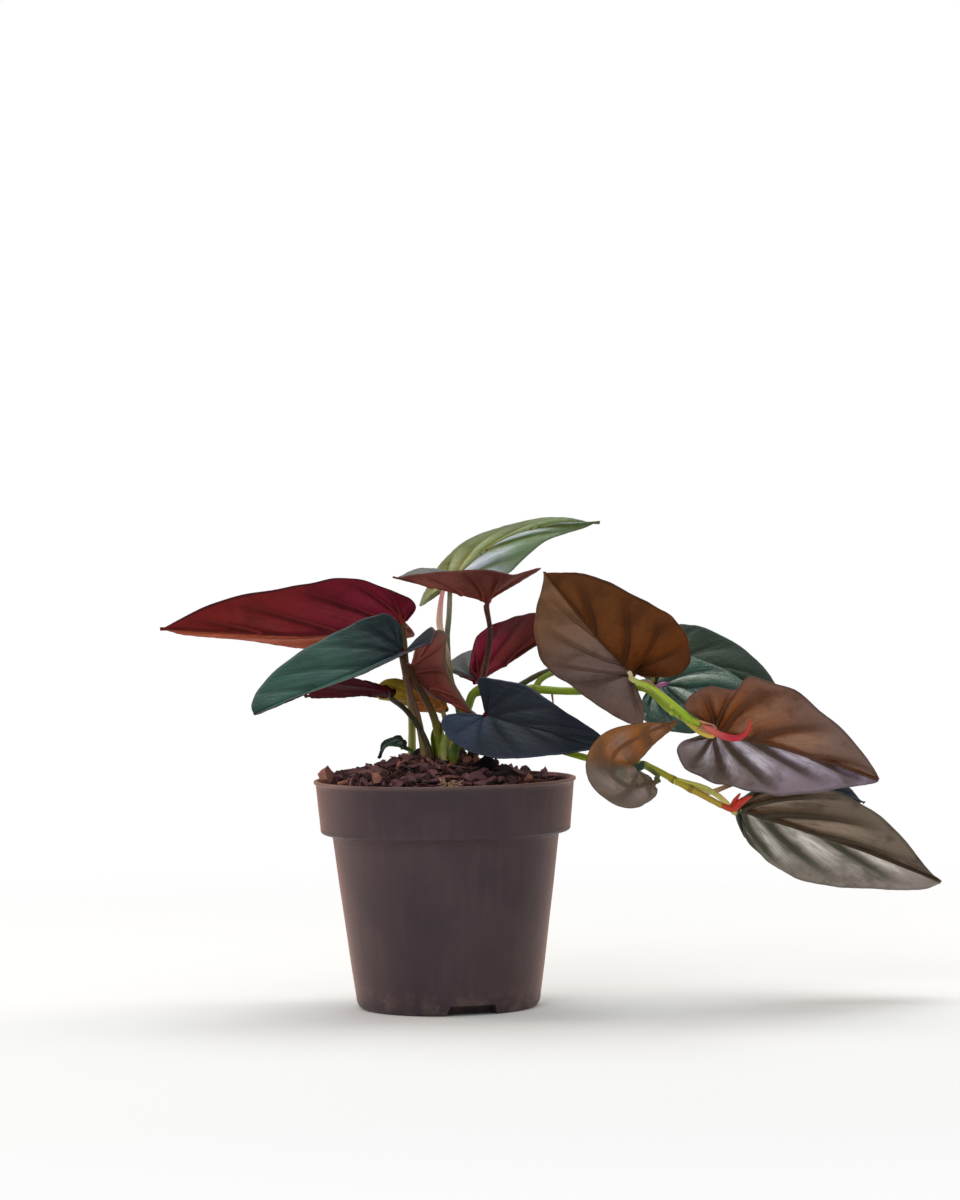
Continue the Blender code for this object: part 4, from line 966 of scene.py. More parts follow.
SKINS = {
    "dark_green": Skin(
        ((34, 52, 46), (44, 70, 58)), ((34, 52, 46), (44, 70, 58)), (40, 62, 54), 0.3, both((22, 36, 36)), 0.5,
        both((110, 132, 124)), 0.25, (70, 92, 76), 0.4, (60, 70, 60), (0.4, 0.4)),
    "sea_green": Skin(
        ((62, 64, 78), (64, 104, 91)), ((24, 32, 42), (68, 106, 93)), (56, 84, 77), 0.3, ((24, 34, 42), (22, 30, 40)),
        0.4, both((104, 124, 128)), 0.3, (58, 84, 74), 0.25, (140, 100, 108), (0.8, 0.1), turn=(0.0, 0.55)),
    "forest": Skin(
        ((46, 60, 46), (44, 62, 50)), ((40, 56, 44), (42, 60, 50)), (50, 64, 54), 0.4, both((26, 38, 34)), 0.5,
        both((92, 108, 92)), 0.2, (44, 60, 46), 0.3, (60, 74, 58), (0.4, 0.4)),
    "forest_gloss": Skin(
        ((44, 92, 74), (34, 72, 54)), ((44, 84, 70), (30, 64, 50)), (54, 92, 76), 0.3, ((18, 44, 36), (18, 42, 34)),
        0.75, ((178, 188, 172), (160, 170, 154)), 0.75, (34, 70, 56), 0.3, (100, 120, 100), (0.4, 0.4), 0.26, 0.5),
    "slate": Skin(
        ((24, 29, 38), (28, 34, 42)), ((62, 76, 100), (34, 42, 50)), (44, 52, 70), 0.35, ((20, 26, 34), (20, 24, 30)),
        0.4, ((66, 84, 96), (54, 70, 82)), 0.25, (34, 44, 52), 0.25, (66, 74, 100), (0.5, 0.5), 0.46,
        turn=(-0.05, 0.2)),
    # The right half's pale blue white near the base is a painted highlight.
    "bright_green": Skin(
        ((130, 138, 84), (100, 128, 62)), ((190, 200, 216), (98, 134, 82)), (126, 138, 118), 0.3,
        ((74, 86, 34), (72, 94, 56)), 0.85, ((184, 192, 150), (236, 242, 255)), 0.85, (156, 142, 44), 1.0,
        (110, 124, 104), (0.5, 0.5), 0.36, 0.3, (0.1, 0.5)),
    "pale_green": Skin(
        ((160, 160, 146), (126, 142, 96)), ((160, 160, 146), (126, 142, 96)), (140, 146, 124), 0.4,
        both((110, 126, 92)), 0.4, both((214, 216, 210)), 0.3, (170, 160, 100), 0.5, (120, 130, 110), (0.4, 0.4)),
    "grey_green": Skin(
        ((96, 106, 104), (126, 128, 126)), ((96, 106, 104), (104, 110, 106)), (140, 138, 136), 0.5,
        both((66, 76, 74)), 0.4, both((164, 164, 162)), 0.3, (110, 116, 108), 0.3, (90, 80, 84), (0.4, 0.4)),
    "wine": Skin(
        ((70, 16, 26), (66, 16, 24)), ((70, 16, 26), (66, 16, 24)), (78, 20, 32), 0.3, both((42, 10, 18)), 0.5,
        both((96, 26, 38)), 0.15, (82, 22, 30), 0.3, (62, 18, 26), (0.4, 0.4), 0.55, 0.02),
    # The right half's orange is painted light shining through the blade.
    "wine_lit": Skin(
        ((122, 24, 50), (128, 38, 32)), ((172, 74, 50), (208, 110, 74)), (120, 26, 36), 0.3,
        ((60, 11, 19), (132, 52, 36)), 0.7, ((156, 60, 66), (210, 120, 84)), 0.5, (140, 52, 44), 0.6, (40, 18, 24),
        (0.7, 0.3), 0.48, 0.08),
    "wine_bright": Skin(
        ((164, 24, 84), (88, 20, 34)), ((146, 30, 66), (84, 26, 26)), (80, 20, 28), 0.3, ((60, 14, 24), (58, 12, 18)),
        0.75, ((166, 52, 88), (150, 60, 40)), 0.45, (132, 60, 48), 0.4, (60, 30, 36), (0.6, 0.6), 0.5, 0.06,
        (0.0, 0.45)),
    "russet": Skin(
        ((118, 52, 44), (146, 86, 78)), ((116, 60, 50), (130, 66, 58)), (116, 58, 50), 0.3, both((76, 26, 24)), 0.6,
        ((150, 92, 76), (154, 92, 74)), 0.4, (160, 88, 74), 0.45, (120, 90, 84), (0.5, 0.5), 0.48, 0.06),
    "hood": Skin(
        ((134, 66, 60), (140, 56, 50)), ((138, 72, 66), (142, 60, 52)), (104, 106, 94), 0.5, both((84, 34, 30)), 0.6,
        both((140, 90, 76)), 0.35, (164, 96, 82), 0.6, (112, 118, 106), (0.7, 0.7), 0.48, 0.06),
    # The left half's orange brown is painted light shining through the blade.
    "bronze": Skin(
        ((122, 64, 22), (106, 60, 26)), ((142, 118, 112), (154, 114, 84)), (106, 64, 32), 0.3,
        ((58, 31, 12), (76, 52, 36)), 0.62, ((122, 78, 42), (138, 112, 100)), 0.4, (46, 26, 14), 0.7, (46, 34, 30),
        (0.4, 0.3), 0.46, 0.06),
    "copper": Skin(
        ((112, 108, 94), (168, 100, 36)), ((120, 108, 100), (160, 96, 38)), (126, 104, 78), 0.3,
        ((78, 60, 48), (84, 66, 54)), 0.6, ((176, 142, 124), (172, 148, 138)), 0.6, (104, 78, 58), 0.35, (56, 50, 46),
        (0.5, 0.5), 0.44, 0.14, (0.37, 0.44)),
    # The left half's lavender grey is a painted reflection of the light from above; the right half's orange brown is
    # painted light shining through the blade.
    "lavender": Skin(
        ((152, 138, 140), (168, 150, 174)), ((144, 76, 12), (130, 98, 84)), (124, 106, 102), 0.45,
        ((60, 42, 28), (84, 42, 12)), 0.95, ((246, 238, 252), (166, 126, 100)), 0.9, (84, 60, 40), 0.5, (50, 44, 46),
        (0.4, 0.4), 0.36, 0.28, (0.05, 0.8)),
    "silver": Skin(
        # The left half's silver grey is a painted reflection of the light from above.
        ((126, 122, 106), (160, 148, 140)), ((92, 62, 28), (118, 100, 82)), (144, 130, 118), 0.35,
        ((56, 56, 32), (58, 42, 24)), 1.0, ((246, 240, 232), (178, 158, 140)), 1.0, (72, 66, 46), 0.5, (60, 54, 48),
        (0.4, 0.4), 0.36, 0.28, (0.05, 0.7)),
    "plum": Skin(
        both((74, 54, 72)), both((74, 54, 72)), (80, 62, 80), 0.3, both((50, 36, 48)), 0.5, both((120, 104, 126)),
        0.25, (96, 74, 92), 0.3, (60, 50, 60), (0.4, 0.4)),
    "amber": Skin(
        ((208, 122, 52), (226, 222, 70)), ((200, 112, 48), (222, 216, 66)), (206, 150, 66), 0.3, both((134, 84, 40)),
        0.5, both((214, 180, 110)), 0.25, (204, 150, 72), 0.4, (120, 96, 54), (0.4, 0.4), turn=(0.35, 0.85)),
}


def two_paints(tree, factor, colours):
    """A pair of screen colours mixed by a factor."""
    return blend(tree, factor, *(paint(*colour) for colour in colours))


def leaf_finish(name, skin):
    """The finish of one side of a leaf. Each colour is laid over what is there, from the base colours to the rim."""
    material, tree, shader = new_finish(name, skin.rough, skin.shine)
    grain = uv_of(tree, "grain")
    across = axis_of(tree, grain, "X")
    half = ramp(tree, across, 0.49, 0.51)
    # The dark colour is painted shade for the valleys and also random blotches; the bright one is a painted highlight
    # for the ridges.
    deep, bright = two_paints(tree, half, skin.deep), two_paints(tree, half, skin.gleam)
    spot = place_on(tree)
    tipward = ramp(tree, attribute(tree, "reach"), *skin.turn)
    # Each half's colours are partly painted light: on some halves light shining through the blade, on others a
    # reflection of the light from above.
    colour = blend(tree, half, two_paints(tree, tipward, skin.left), two_paints(tree, tipward, skin.right))
    out = sum_of(tree, "ABSOLUTE", sum_of(tree, "MULTIPLY_ADD", across, 2.0, -1.0))
    colour = blend(tree, ramp(tree, out, 0.5, 1.0, 0.0, skin.edge_part), colour, paint(*skin.edge))
    blotches = cloud(tree, spot, 60.0, 4.0, 0.6)
    colour = blend(tree, ramp(tree, blotches, 0.45, 0.66, 0.0, 0.7 * skin.deep_part), colour, deep)
    ridge = attribute(tree, "ridge")
    # Painted shade in the valleys beside the veins.
    colour = blend(tree, ramp(tree, ridge, 0.45, 0.05, 0.0, skin.deep_part), colour, deep)
    # A painted highlight in streaky patches along the ridges.
    streaks = cloud(tree, stretched(tree, grain, (5.0, 13.0, 1.0)), 1.0, 4.0, 0.6)
    patch = ramp(tree, streaks, 0.38, 0.58, 0.3, 1.0)
    shine = ramp(tree, ridge, 0.35, 0.85, 0.0, skin.gleam_part)
    ticks = cloud(tree, stretched(tree, grain, (9.0, 90.0, 1.0)), 1.0, 2.0)
    shine = sum_of(tree, "MULTIPLY", shine, ramp(tree, ticks, 0.3, 0.7, 0.55, 1.0))
    colour = blend(tree, sum_of(tree, "MULTIPLY", patch, shine), colour, bright)
    net = cells(tree, spot, 480.0)
    colour = blend(tree, ramp(tree, net, 0.0, 0.11, 0.14 * skin.vein_part, 0.0), colour, paint(*skin.vein))
    vein = attribute(tree, "vein")
    colour = blend(tree, ramp(tree, vein, 0.2, 0.9, 0.0, skin.vein_part), colour, paint(*skin.vein))
    line = sum_of(tree, "MULTIPLY", ramp(tree, out, 0.96, 0.99), ramp(tree, across, 0.4, 0.6, *skin.rim_part))
    colour = blend(tree, line, colour, paint(*skin.rim))
    tree.links.new(colour, shader.inputs["Base Color"])
    tree.links.new(ramp(tree, ridge, 0.2, 0.9, skin.rough + 0.08, skin.rough - 0.06), shader.inputs["Roughness"])
    first = relief(tree, shader, ramp(tree, net, 0.0, 0.25), 0.00012, 0.4)
    relief(tree, shader, ticks, 0.0004, 0.6, first)
    return material


leaf_finishes = {name: leaf_finish(name, skin) for name, skin in SKINS.items()}
print("leaf finishes:", len(leaf_finishes))

# %% [markdown]
# The blade is quilted: the tissue between two side veins swells up a little, the veins lie in the valleys on the
# upper side, and they stand out as ridges on the underside. So the surface is moved along its own normal between
# veins, and the Solidify modifier makes the blade thicker where a vein runs. The weight of each point says how much.

# %% Leaf shapes
BLADE_ROWS = 112
BLADE_COLUMNS = 52
MIDRIB_POINTS = 60
BLADE_THICK = 1.5
BLADE_THIN = 0.32
VEIN_WIDTH, MIDRIB_WIDTH = 0.55, 0.9
VEIN_THICK, MIDRIB_THICK = 0.42, 1.0
VEIN_SINK, MIDRIB_SINK = 0.15, 0.35
# How strongly rows crowd towards the veins and columns towards the midrib, where the blade has its detail.
ROW_CROWDING = 0.07
COLUMN_CROWDING = 1.25
# The part of the length from which blunt makes a half fuller.
BLUNT_FROM = 0.2
# The slow unevenness of a blade, the middle height of its ridges, and how long they hold between veins that meet.
UNEVEN = 0.12
MEAN_SWELL = 0.4
RIDGE_HOLD = 1.75
# The height between one side vein and the next: a valley beside the vein, then a ridge that falls off slowly.
# The same profile places the finish's painted shade in the valleys and its painted highlight on the ridges.
RIDGE = ((0.0, 0.08, 0.16, 0.26, 0.45, 0.75, 0.92, 1.0), (0.12, 0.0, 0.1, 0.85, 1.0, 0.62, 0.3, 0.12))


def midrib_frame(leaf, at):
    """Places on the midrib, the way along it and the way the upper side looks, for parts of its length."""
    route, length = even_route(leaf.midrib, MIDRIB_POINTS)
    marks = np.linspace(0, 1, len(route))
    slope = np.gradient(route, axis=0)
    place = np.stack([np.interp(at, marks, route[:, k]) for k in range(3)], axis=-1)
    ahead = unit(np.stack([np.interp(at, marks, slope[:, k]) for k in range(3)], axis=-1))
    base, tip = np.array(leaf.face[0], float), np.array(leaf.face[1], float)
    face = base + (tip - base) * np.asarray(at)[..., None]
    face = unit(face - ahead * np.sum(face * ahead, axis=-1, keepdims=True))
    return place, ahead, face, length


def blade_places(leaf, row, t):
    """The smooth upper side of a blade for outline rows and columns t from -1 to 1, with its normals."""
    left, right = (spline(plan, row).T[:, :, None] for plan in leaf.plan)
    along, across = np.where(t < 0, left[:2], right[:2])
    start = left[2]
    blunt = np.where(t < 0, *leaf.blunt)
    across = np.where(along > BLUNT_FROM, np.abs(across) ** (1 - blunt), across)
    across = across * (1 + leaf.ripple * np.sin(2 * math.pi * (RIPPLES * row[:, None] + 0.3 * t)) * t ** 4)
    side = np.sign(t)
    x = start + (along - start) * np.abs(t) ** VEIN_BEND
    half = np.where(t < 0, *leaf.half)
    y = half * across * np.abs(t)
    place, ahead, face, length = midrib_frame(leaf, np.clip(x, 0, 1))
    back = np.minimum(x, 0) * length * np.where(t < 0, *leaf.lobes)
    place = place + ahead * back[..., None] - face * (back * leaf.lift)[..., None]
    fold = np.radians(np.where(t < 0, *leaf.fold))
    curl = np.radians(np.where(t < 0, *leaf.curl)) / half
    curl = np.where(np.abs(curl) < 1e-5, 1e-5, curl)
    run = (np.sin(fold + curl * y) - np.sin(fold)) / curl
    rise = (np.cos(fold) - np.cos(fold + curl * y)) / curl
    rise = rise + leaf.wave * np.sin(2 * math.pi * (WAVES * row[:, None] + WAVE_SHIFT * side)) * t ** 2
    sideways = np.cross(ahead, face)
    slope = fold + curl * y
    normal = face * np.cos(slope)[..., None] - sideways * (side * np.sin(slope))[..., None]
    return place + sideways * (side * run)[..., None] + face * rise[..., None], normal, x, y


def fine_blade(leaf):
    """The blade's grid with its relief, its UV map, each point's share of full thickness, and the finish's numbers.

    count runs from one side vein to the next, so that its fraction says how far a row is between two of them. Ridges
    fade out where the veins run close together, towards the midrib and towards the margin.
    """
    knots = np.array([0.0, *leaf.veins, 1.0])
    count = np.linspace(0, len(knots) - 1, BLADE_ROWS + 1)
    count = count - ROW_CROWDING * np.sin(2 * math.pi * count)
    row = np.interp(count, np.arange(len(knots)), knots)
    u = np.linspace(-1, 1, BLADE_COLUMNS + 1)
    t = (np.sign(u) * np.abs(u) ** COLUMN_CROWDING)[None, :]
    places, normal, x, y = blade_places(leaf, row, t)
    down = np.gradient(places, count, axis=0)
    out = np.gradient(places, t[0], axis=1)
    spacing = np.linalg.norm(np.cross(down, out), axis=-1) / np.maximum(np.linalg.norm(out, axis=-1), 1e-6)
    nearest = np.clip(np.round(count), 1, len(knots) - 2)[:, None]
    away = np.abs(count[:, None] - nearest) * spacing
    far = np.abs(t)
    vein = np.exp(-(away / (VEIN_WIDTH * (1.15 - 0.6 * far))) ** 2) * (1 - 0.55 * far)
    midrib = np.exp(-(y / MIDRIB_WIDTH) ** 2) * np.clip(1.1 - 0.9 * row[:, None], 0.15, 1)
    phase = count[:, None] - np.floor(count[:, None])
    swell = np.interp(phase, *RIDGE) * (1 - far ** 4) * (1 - np.exp(-far / 0.07))
    ridge = MEAN_SWELL + (swell - MEAN_SWELL) * (1 - far ** 3) * np.minimum(spacing * RIDGE_HOLD, 1.0)
    swell = swell * np.minimum(spacing, 1.0)
    height = leaf.quilt * swell - MIDRIB_SINK * midrib - VEIN_SINK * vein
    height = height + UNEVEN * np.sin(places[..., 0] * 0.9 + 3 * far) * np.sin(places[..., 2] * 1.1 + places[..., 1])
    places = places + normal * (height - leaf.quilt * MEAN_SWELL)[..., None]
    thick = BLADE_THIN + (VEIN_THICK * vein + MIDRIB_THICK * midrib) * (1 - 0.4 * far)
    uv = np.stack(np.broadcast_arrays((u[None, :] + 1) / 2, row[:, None]), axis=-1)
    numbers = {"vein": np.maximum(vein, midrib), "ridge": ridge, "reach": x}
    return places, uv, np.clip(thick / BLADE_THICK, 0.05, 1), numbers


def make_leaf(node, leaf):
    """The blade as one sheet with a finish for each side. A point's weight is its share of full thickness."""
    places, uv, thick, numbers = fine_blade(leaf)
    shape = laid_grid(places, uv)
    weights = shape.verts.layers.deform.verify()
    for vert, share in zip(shape.verts, thick.ravel()):
        vert[weights][0] = float(share)
    for name, values in numbers.items():
        layer = shape.verts.layers.float.new(name)
        for vert, value in zip(shape.verts, values.ravel()):
            vert[layer] = float(value)
    bmesh.ops.remove_doubles(shape, verts=shape.verts, dist=2 * SAME_PLACE)
    blade = new_piece("fine_" + node, shape, leaf_finishes[leaf.upper], leaf_finishes[leaf.under])
    blade.vertex_groups.new(name="thickness")
    sheet = thicken(blade, BLADE_THICK)
    sheet.vertex_group = "thickness"
    sheet.material_offset = sheet.material_offset_rim = 1
    return dress(blade, leaf.slot, node)


for node, leaf in LEAVES.items():
    make_leaf(node, leaf)
print("leaves made:", len(LEAVES))

# %% [markdown]
# ## Stalks and stems
#
# Each leaf hangs on a stalk that is thicker at its foot, a little swollen where it meets the blade, and goes on
# under the blade as the midrib. Two trailing stems carry leaves on side branches, with a ring and a swelling where
# each one leaves. They keep to the routes of the frame's solids. Each branch is joined to its stem for good, so the
# stem is one closed surface, and keeps a colour of its own.

# %% The routes
STEM_SIDES = 14
STEM_STEP = 1.3
FOOT_BELOW, FOOT_ABOVE = 6.0, 2.5
# How far from the blade a stalk's last points lie: on its upper side, where the first two also lie back, or under it.
JOINT_OVER = (2.5, 0.3, 0.7)
JOINT_BACK = 3.6
JOINT_UNDER = (3.8, 1.4, 1.0)
# The swellings, as shares of the radius: the foot's flare, the neck below the leaf and the nodes, with their lengths.
WOBBLE = 0.03
FOOT_FLARE, FLARE_REACH = 0.3, 5.0
NECK_SWELL, NECK_PLACE, NECK_REACH = 0.22, 7.0, 3.5
NODE_SWELL, NODE_REACH = 0.3, 2.2
END_TAPER = 6.0

Stalk = namedtuple("Stalk", "leaf foot route radius colours")
Branch = namedtuple("Branch", "leaf route radius colours")
Vine = namedtuple("Vine", "foot route radius colours branches")

STALKS = {
    "stalk_far_left": Stalk(
        "leaf_far_left", (-15, 8), ((-15, 13, 135), (-17, 14, 155)), (1.9, 1.3),
        ((172, 180, 92), (122, 116, 60), (72, 30, 28))),
    "stalk_left_front": Stalk(
        "leaf_left_front", (-9, -6), ((-12, -6, 134), (-16, -6, 148)), (1.9, 1.3),
        ((150, 128, 80), (112, 80, 62), (66, 42, 38))),
    "stalk_left_low": Stalk(
        "leaf_left_low", (-6, -14), ((-10, -12, 127), (-17, -9, 137)), (1.5, 1.1),
        ((60, 54, 24), (36, 32, 18), (34, 22, 20))),
    "stalk_centre": Stalk(
        "leaf_centre", (-2, -6), ((-4, -3, 132), (-10, 0, 145)), (2.3, 1.15),
        ((126, 140, 30), (84, 62, 28), (84, 38, 32))),
    "stalk_young": Stalk(
        "leaf_young", (2, 11), ((2, 14, 126),), (1.2, 0.9), ((140, 158, 78), (150, 150, 80), (170, 130, 70))),
    "stalk_top": Stalk(
        "leaf_top", (8, 14), ((7, 17, 135), (3, 22, 152), (2, 31, 168), (3, 37, 179)), (1.8, 1.1),
        ((120, 130, 70), (112, 116, 88), (118, 112, 92))),
    "stalk_slate_front": Stalk(
        "leaf_slate_front", (12, -8), ((14, -12, 123),), (1.8, 1.3), ((62, 58, 34), (52, 50, 36), (46, 46, 42))),
    "stalk_small_curled": Stalk(
        "leaf_small_curled", (-15, -2), ((-15, -1, 118),), (1.0, 0.7), ((70, 96, 40), (60, 92, 44), (46, 84, 46))),
}

VINES = {
    "stem_upper": Vine(
        (4, 2), ((11, 4, 137), (17, 6, 145), (40, 8, 145), (56, 5, 144), (72, 3, 144), (92, -4, 145),
                 (104, -18, 135), (116, -33, 130)), (2.2, 1.35), ((118, 142, 36), (146, 176, 42), (176, 208, 56)),
        (Branch("leaf_upper_front", ((17, 6, 145), (20, 1, 158), (22, -3, 172)), (1.4, 1.1),
                ((92, 56, 34), (56, 20, 20), (96, 36, 32))),
         Branch("leaf_back_red", ((10, 4, 134), (12, 14, 140)), (1.5, 1.1),
                ((105, 101, 46), (117, 84, 52), (142, 60, 50))),
         Branch("leaf_brown_high", ((112, -28, 131.5), (104, -27, 139), (95, -24, 146)), (1.4, 1.15),
                ((179, 214, 58), (212, 238, 84), (252, 226, 194))),
         Branch("leaf_right_back", ((32, 7.5, 145), (49, 18, 153), (78, 40, 158)), (1.3, 1.1),
                ((62, 60, 36), (48, 48, 36), (50, 60, 44))),
         Branch("leaf_right_glossy", ((42, 8, 145), (50, 11, 152), (90, 26, 164)), (1.3, 1.1),
                ((127, 146, 52), (156, 166, 88), (134, 149, 69))),
         Branch("leaf_purple_right", ((109, -24, 133), (115, -29, 127), (120, -31.5, 124.5)), (1.5, 1.2),
                ((196, 206, 62), (240, 204, 96), (252, 178, 146))))),
    "stem_lower": Vine(
        (14, 2), ((18, 1, 126), (28, 0, 126), (46, -6, 120), (62, -14, 115), (76, -20, 112), (91, -24, 111),
                  (108, -25, 102), (126, -26, 92)), (1.7, 1.4), ((110, 125, 38), (173, 199, 42), (183, 154, 55)),
        (Branch("leaf_curled", ((91, -24, 111), (94, -33, 109), (96.5, -38.5, 107)), (1.2, 0.8),
                ((160, 178, 56), (96, 104, 62), (66, 68, 52))),
         Branch("leaf_bottom_right", ((104, -25, 104), (118, -22, 100), (127, -14, 94)), (1.4, 1.2),
                ((206, 212, 100), (224, 214, 122), (150, 146, 88))),
         Branch("leaf_hidden_purple", ((112, -25.3, 100), (121, -9, 97), (134, 8, 100)), (1.3, 1.0),
                ((195, 168, 94), (146, 108, 74), (117, 74, 69))))),
}


def leaf_joint(name):
    """The last points of a stalk: near a leaf's base, at it, and a little way along the midrib."""
    leaf = LEAVES[name]
    place, ahead, face, _ = midrib_frame(leaf, np.array([0.0, 0.08]))
    if leaf.seat == "over":
        near = place[0] - ahead[0] * JOINT_BACK
        return [near + face[0] * JOINT_OVER[0], near + face[0] * JOINT_OVER[1], place[1] - face[1] * JOINT_OVER[2]]
    return [place[at] - face[at] * below for at, below in zip((0, 0, 1), JOINT_UNDER)]


def stem_tube(points, radius, nodes=(), tapers=True):
    """A stalk or stem through the points, with swellings where it meets its leaf and at its nodes."""
    length = even_route(points, 8)[1]
    route = even_route(points, max(6, round(length / STEM_STEP)))[0]
    share = np.linspace(0, 1, len(route))
    wobble = WOBBLE * np.sin(share * length * 0.9) * np.sin(share * length * 0.37 + 1.0)
    radii = np.interp(share, (0, 1), radius) * (1 + wobble + FOOT_FLARE * np.exp(-share * length / FLARE_REACH))
    if tapers:
        radii = radii * (1 + NECK_SWELL * np.exp(-(((1 - share) * length - NECK_PLACE) / NECK_REACH) ** 2))
        radii = radii * np.clip((1 - share) * length / END_TAPER, 0.3, 1)
    ring = np.zeros(len(route))
    for node in nodes:
        away = np.linalg.norm(route - np.array(node), axis=1)
        radii = radii * (1 + NODE_SWELL * np.exp(-(away / NODE_REACH) ** 2))
        ring = np.maximum(ring, np.exp(-(away - away.min()) ** 2))
    return tube(route, radii, STEM_SIDES, marks=ring)


def foot_points(foot):
    """The first points of a stalk, in the soil and just above it."""
    ground = soil_height(*foot)
    return [(*foot, ground - FOOT_BELOW), (*foot, ground + FOOT_ABOVE)]


print("stalks:", len(STALKS), "stems:", len(VINES), "branches:", sum(len(vine.branches) for vine in VINES.values()))

# %% Their finish
def stem_finish(name, colours):
    """Three colours along the way, fine lengthwise lines, small pale flecks, and a darker ring at each node."""
    material, tree, shader = new_finish(name, 0.42, 0.2)
    grain = uv_of(tree, "grain")
    along = axis_of(tree, grain, "Y")
    ring = axis_of(tree, uv_of(tree, "marks"), "X")
    foot, middle, leaf = (paint(*colour) for colour in colours)
    colour = blend(tree, ramp(tree, along, 0.08, 0.55), foot, middle)
    colour = blend(tree, ramp(tree, along, 0.6, 0.97), colour, leaf)
    fine = cloud(tree, stretched(tree, grain, (22.0, 2.5, 1.0)), 1.0, 3.0)
    darker = add(tree, "Mix", {"Factor": 1.0, "A": colour, "B": (0.55, 0.52, 0.5, 1)}, data_type="RGBA",
                 blend_type="MULTIPLY").outputs["Result"]
    colour = blend(tree, ramp(tree, fine, 0.35, 0.7, 0.0, 0.55), colour, darker)
    flecks = ramp(tree, cells(tree, place_on(tree, (1.0, 1.0, 0.5)), 700.0), 0.0, 0.12, 0.12, 0.0)
    colour = blend(tree, flecks, colour, paint(150, 140, 100))
    colour = blend(tree, ramp(tree, ring, 0.3, 0.9, 0.0, 0.6), colour, paint(112, 84, 44))
    tree.links.new(colour, shader.inputs["Base Color"])
    relief(tree, shader, fine, 0.00025, 0.6)
    return material


# %% Stalks and stems
def make_stalk(node, stalk):
    """A stalk from the soil to its leaf."""
    points = [*foot_points(stalk.foot), *stalk.route, *leaf_joint(stalk.leaf)]
    piece = new_piece("fine_" + node, stem_tube(points, stalk.radius), stem_finish(node + "_skin", stalk.colours))
    return dress(piece, "stem", node)


def make_vine(node, vine):
    """A trailing stem with its side branches joined to it."""
    starts = [branch.route[0] for branch in vine.branches]
    shape = stem_tube([*foot_points(vine.foot), *vine.route], vine.radius, starts, tapers=False)
    piece = new_piece("fine_" + node, shape, stem_finish(node + "_skin", vine.colours))
    group = bpy.data.collections.new(node + "_branches")
    scene.collection.children.link(group)
    for branch in vine.branches:
        arm = stem_tube([*branch.route, *leaf_joint(branch.leaf)], branch.radius)
        limb = new_piece(node + "_to_" + branch.leaf, arm, stem_finish(branch.leaf + "_stalk", branch.colours))
        scene.collection.objects.unlink(limb)
        group.objects.link(limb)
    combine(piece, "UNION", group)
    piece.data.shade_smooth()
    return dress(piece, "stem", node)


for node, stalk in STALKS.items():
    made = make_stalk(node, stalk)
    print(node, len(made.data.polygons), "faces")
for node, vine in VINES.items():
    made = make_vine(node, vine)
    print(node, len(made.data.polygons), "faces,", len(made.data.materials), "finishes")

# %% [markdown]
# ## New growth
#
# A young leaf comes up rolled like an umbrella, out of a sheath, the papery sleeve at the foot of the stalk before
# it. A rolled leaf is a tube with a groove down its side and a pointed end. A sheath is a sheet wrapped round a
# route that gets narrower towards its tip, and a modifier gives it its thickness. Both take the stems' finish.

# %% New growth
SHEATH_ROWS = 25
SHEATH_COLUMNS = 19
SHEATH_THICK = 0.35
ROLLED_STEP = 0.8
ROLLED_SIDES = 16
WRAP_FALL, WRAP_LEFT = 2.4, 0.03
TIP_RADIUS = 1.0

Rolled = namedtuple("Rolled", "route radii colours slot nodes oval crease", defaults=((), 1.0, 0.15))
Sheath = namedtuple("Sheath", "route radii wrap turn colours nodes", defaults=((),))

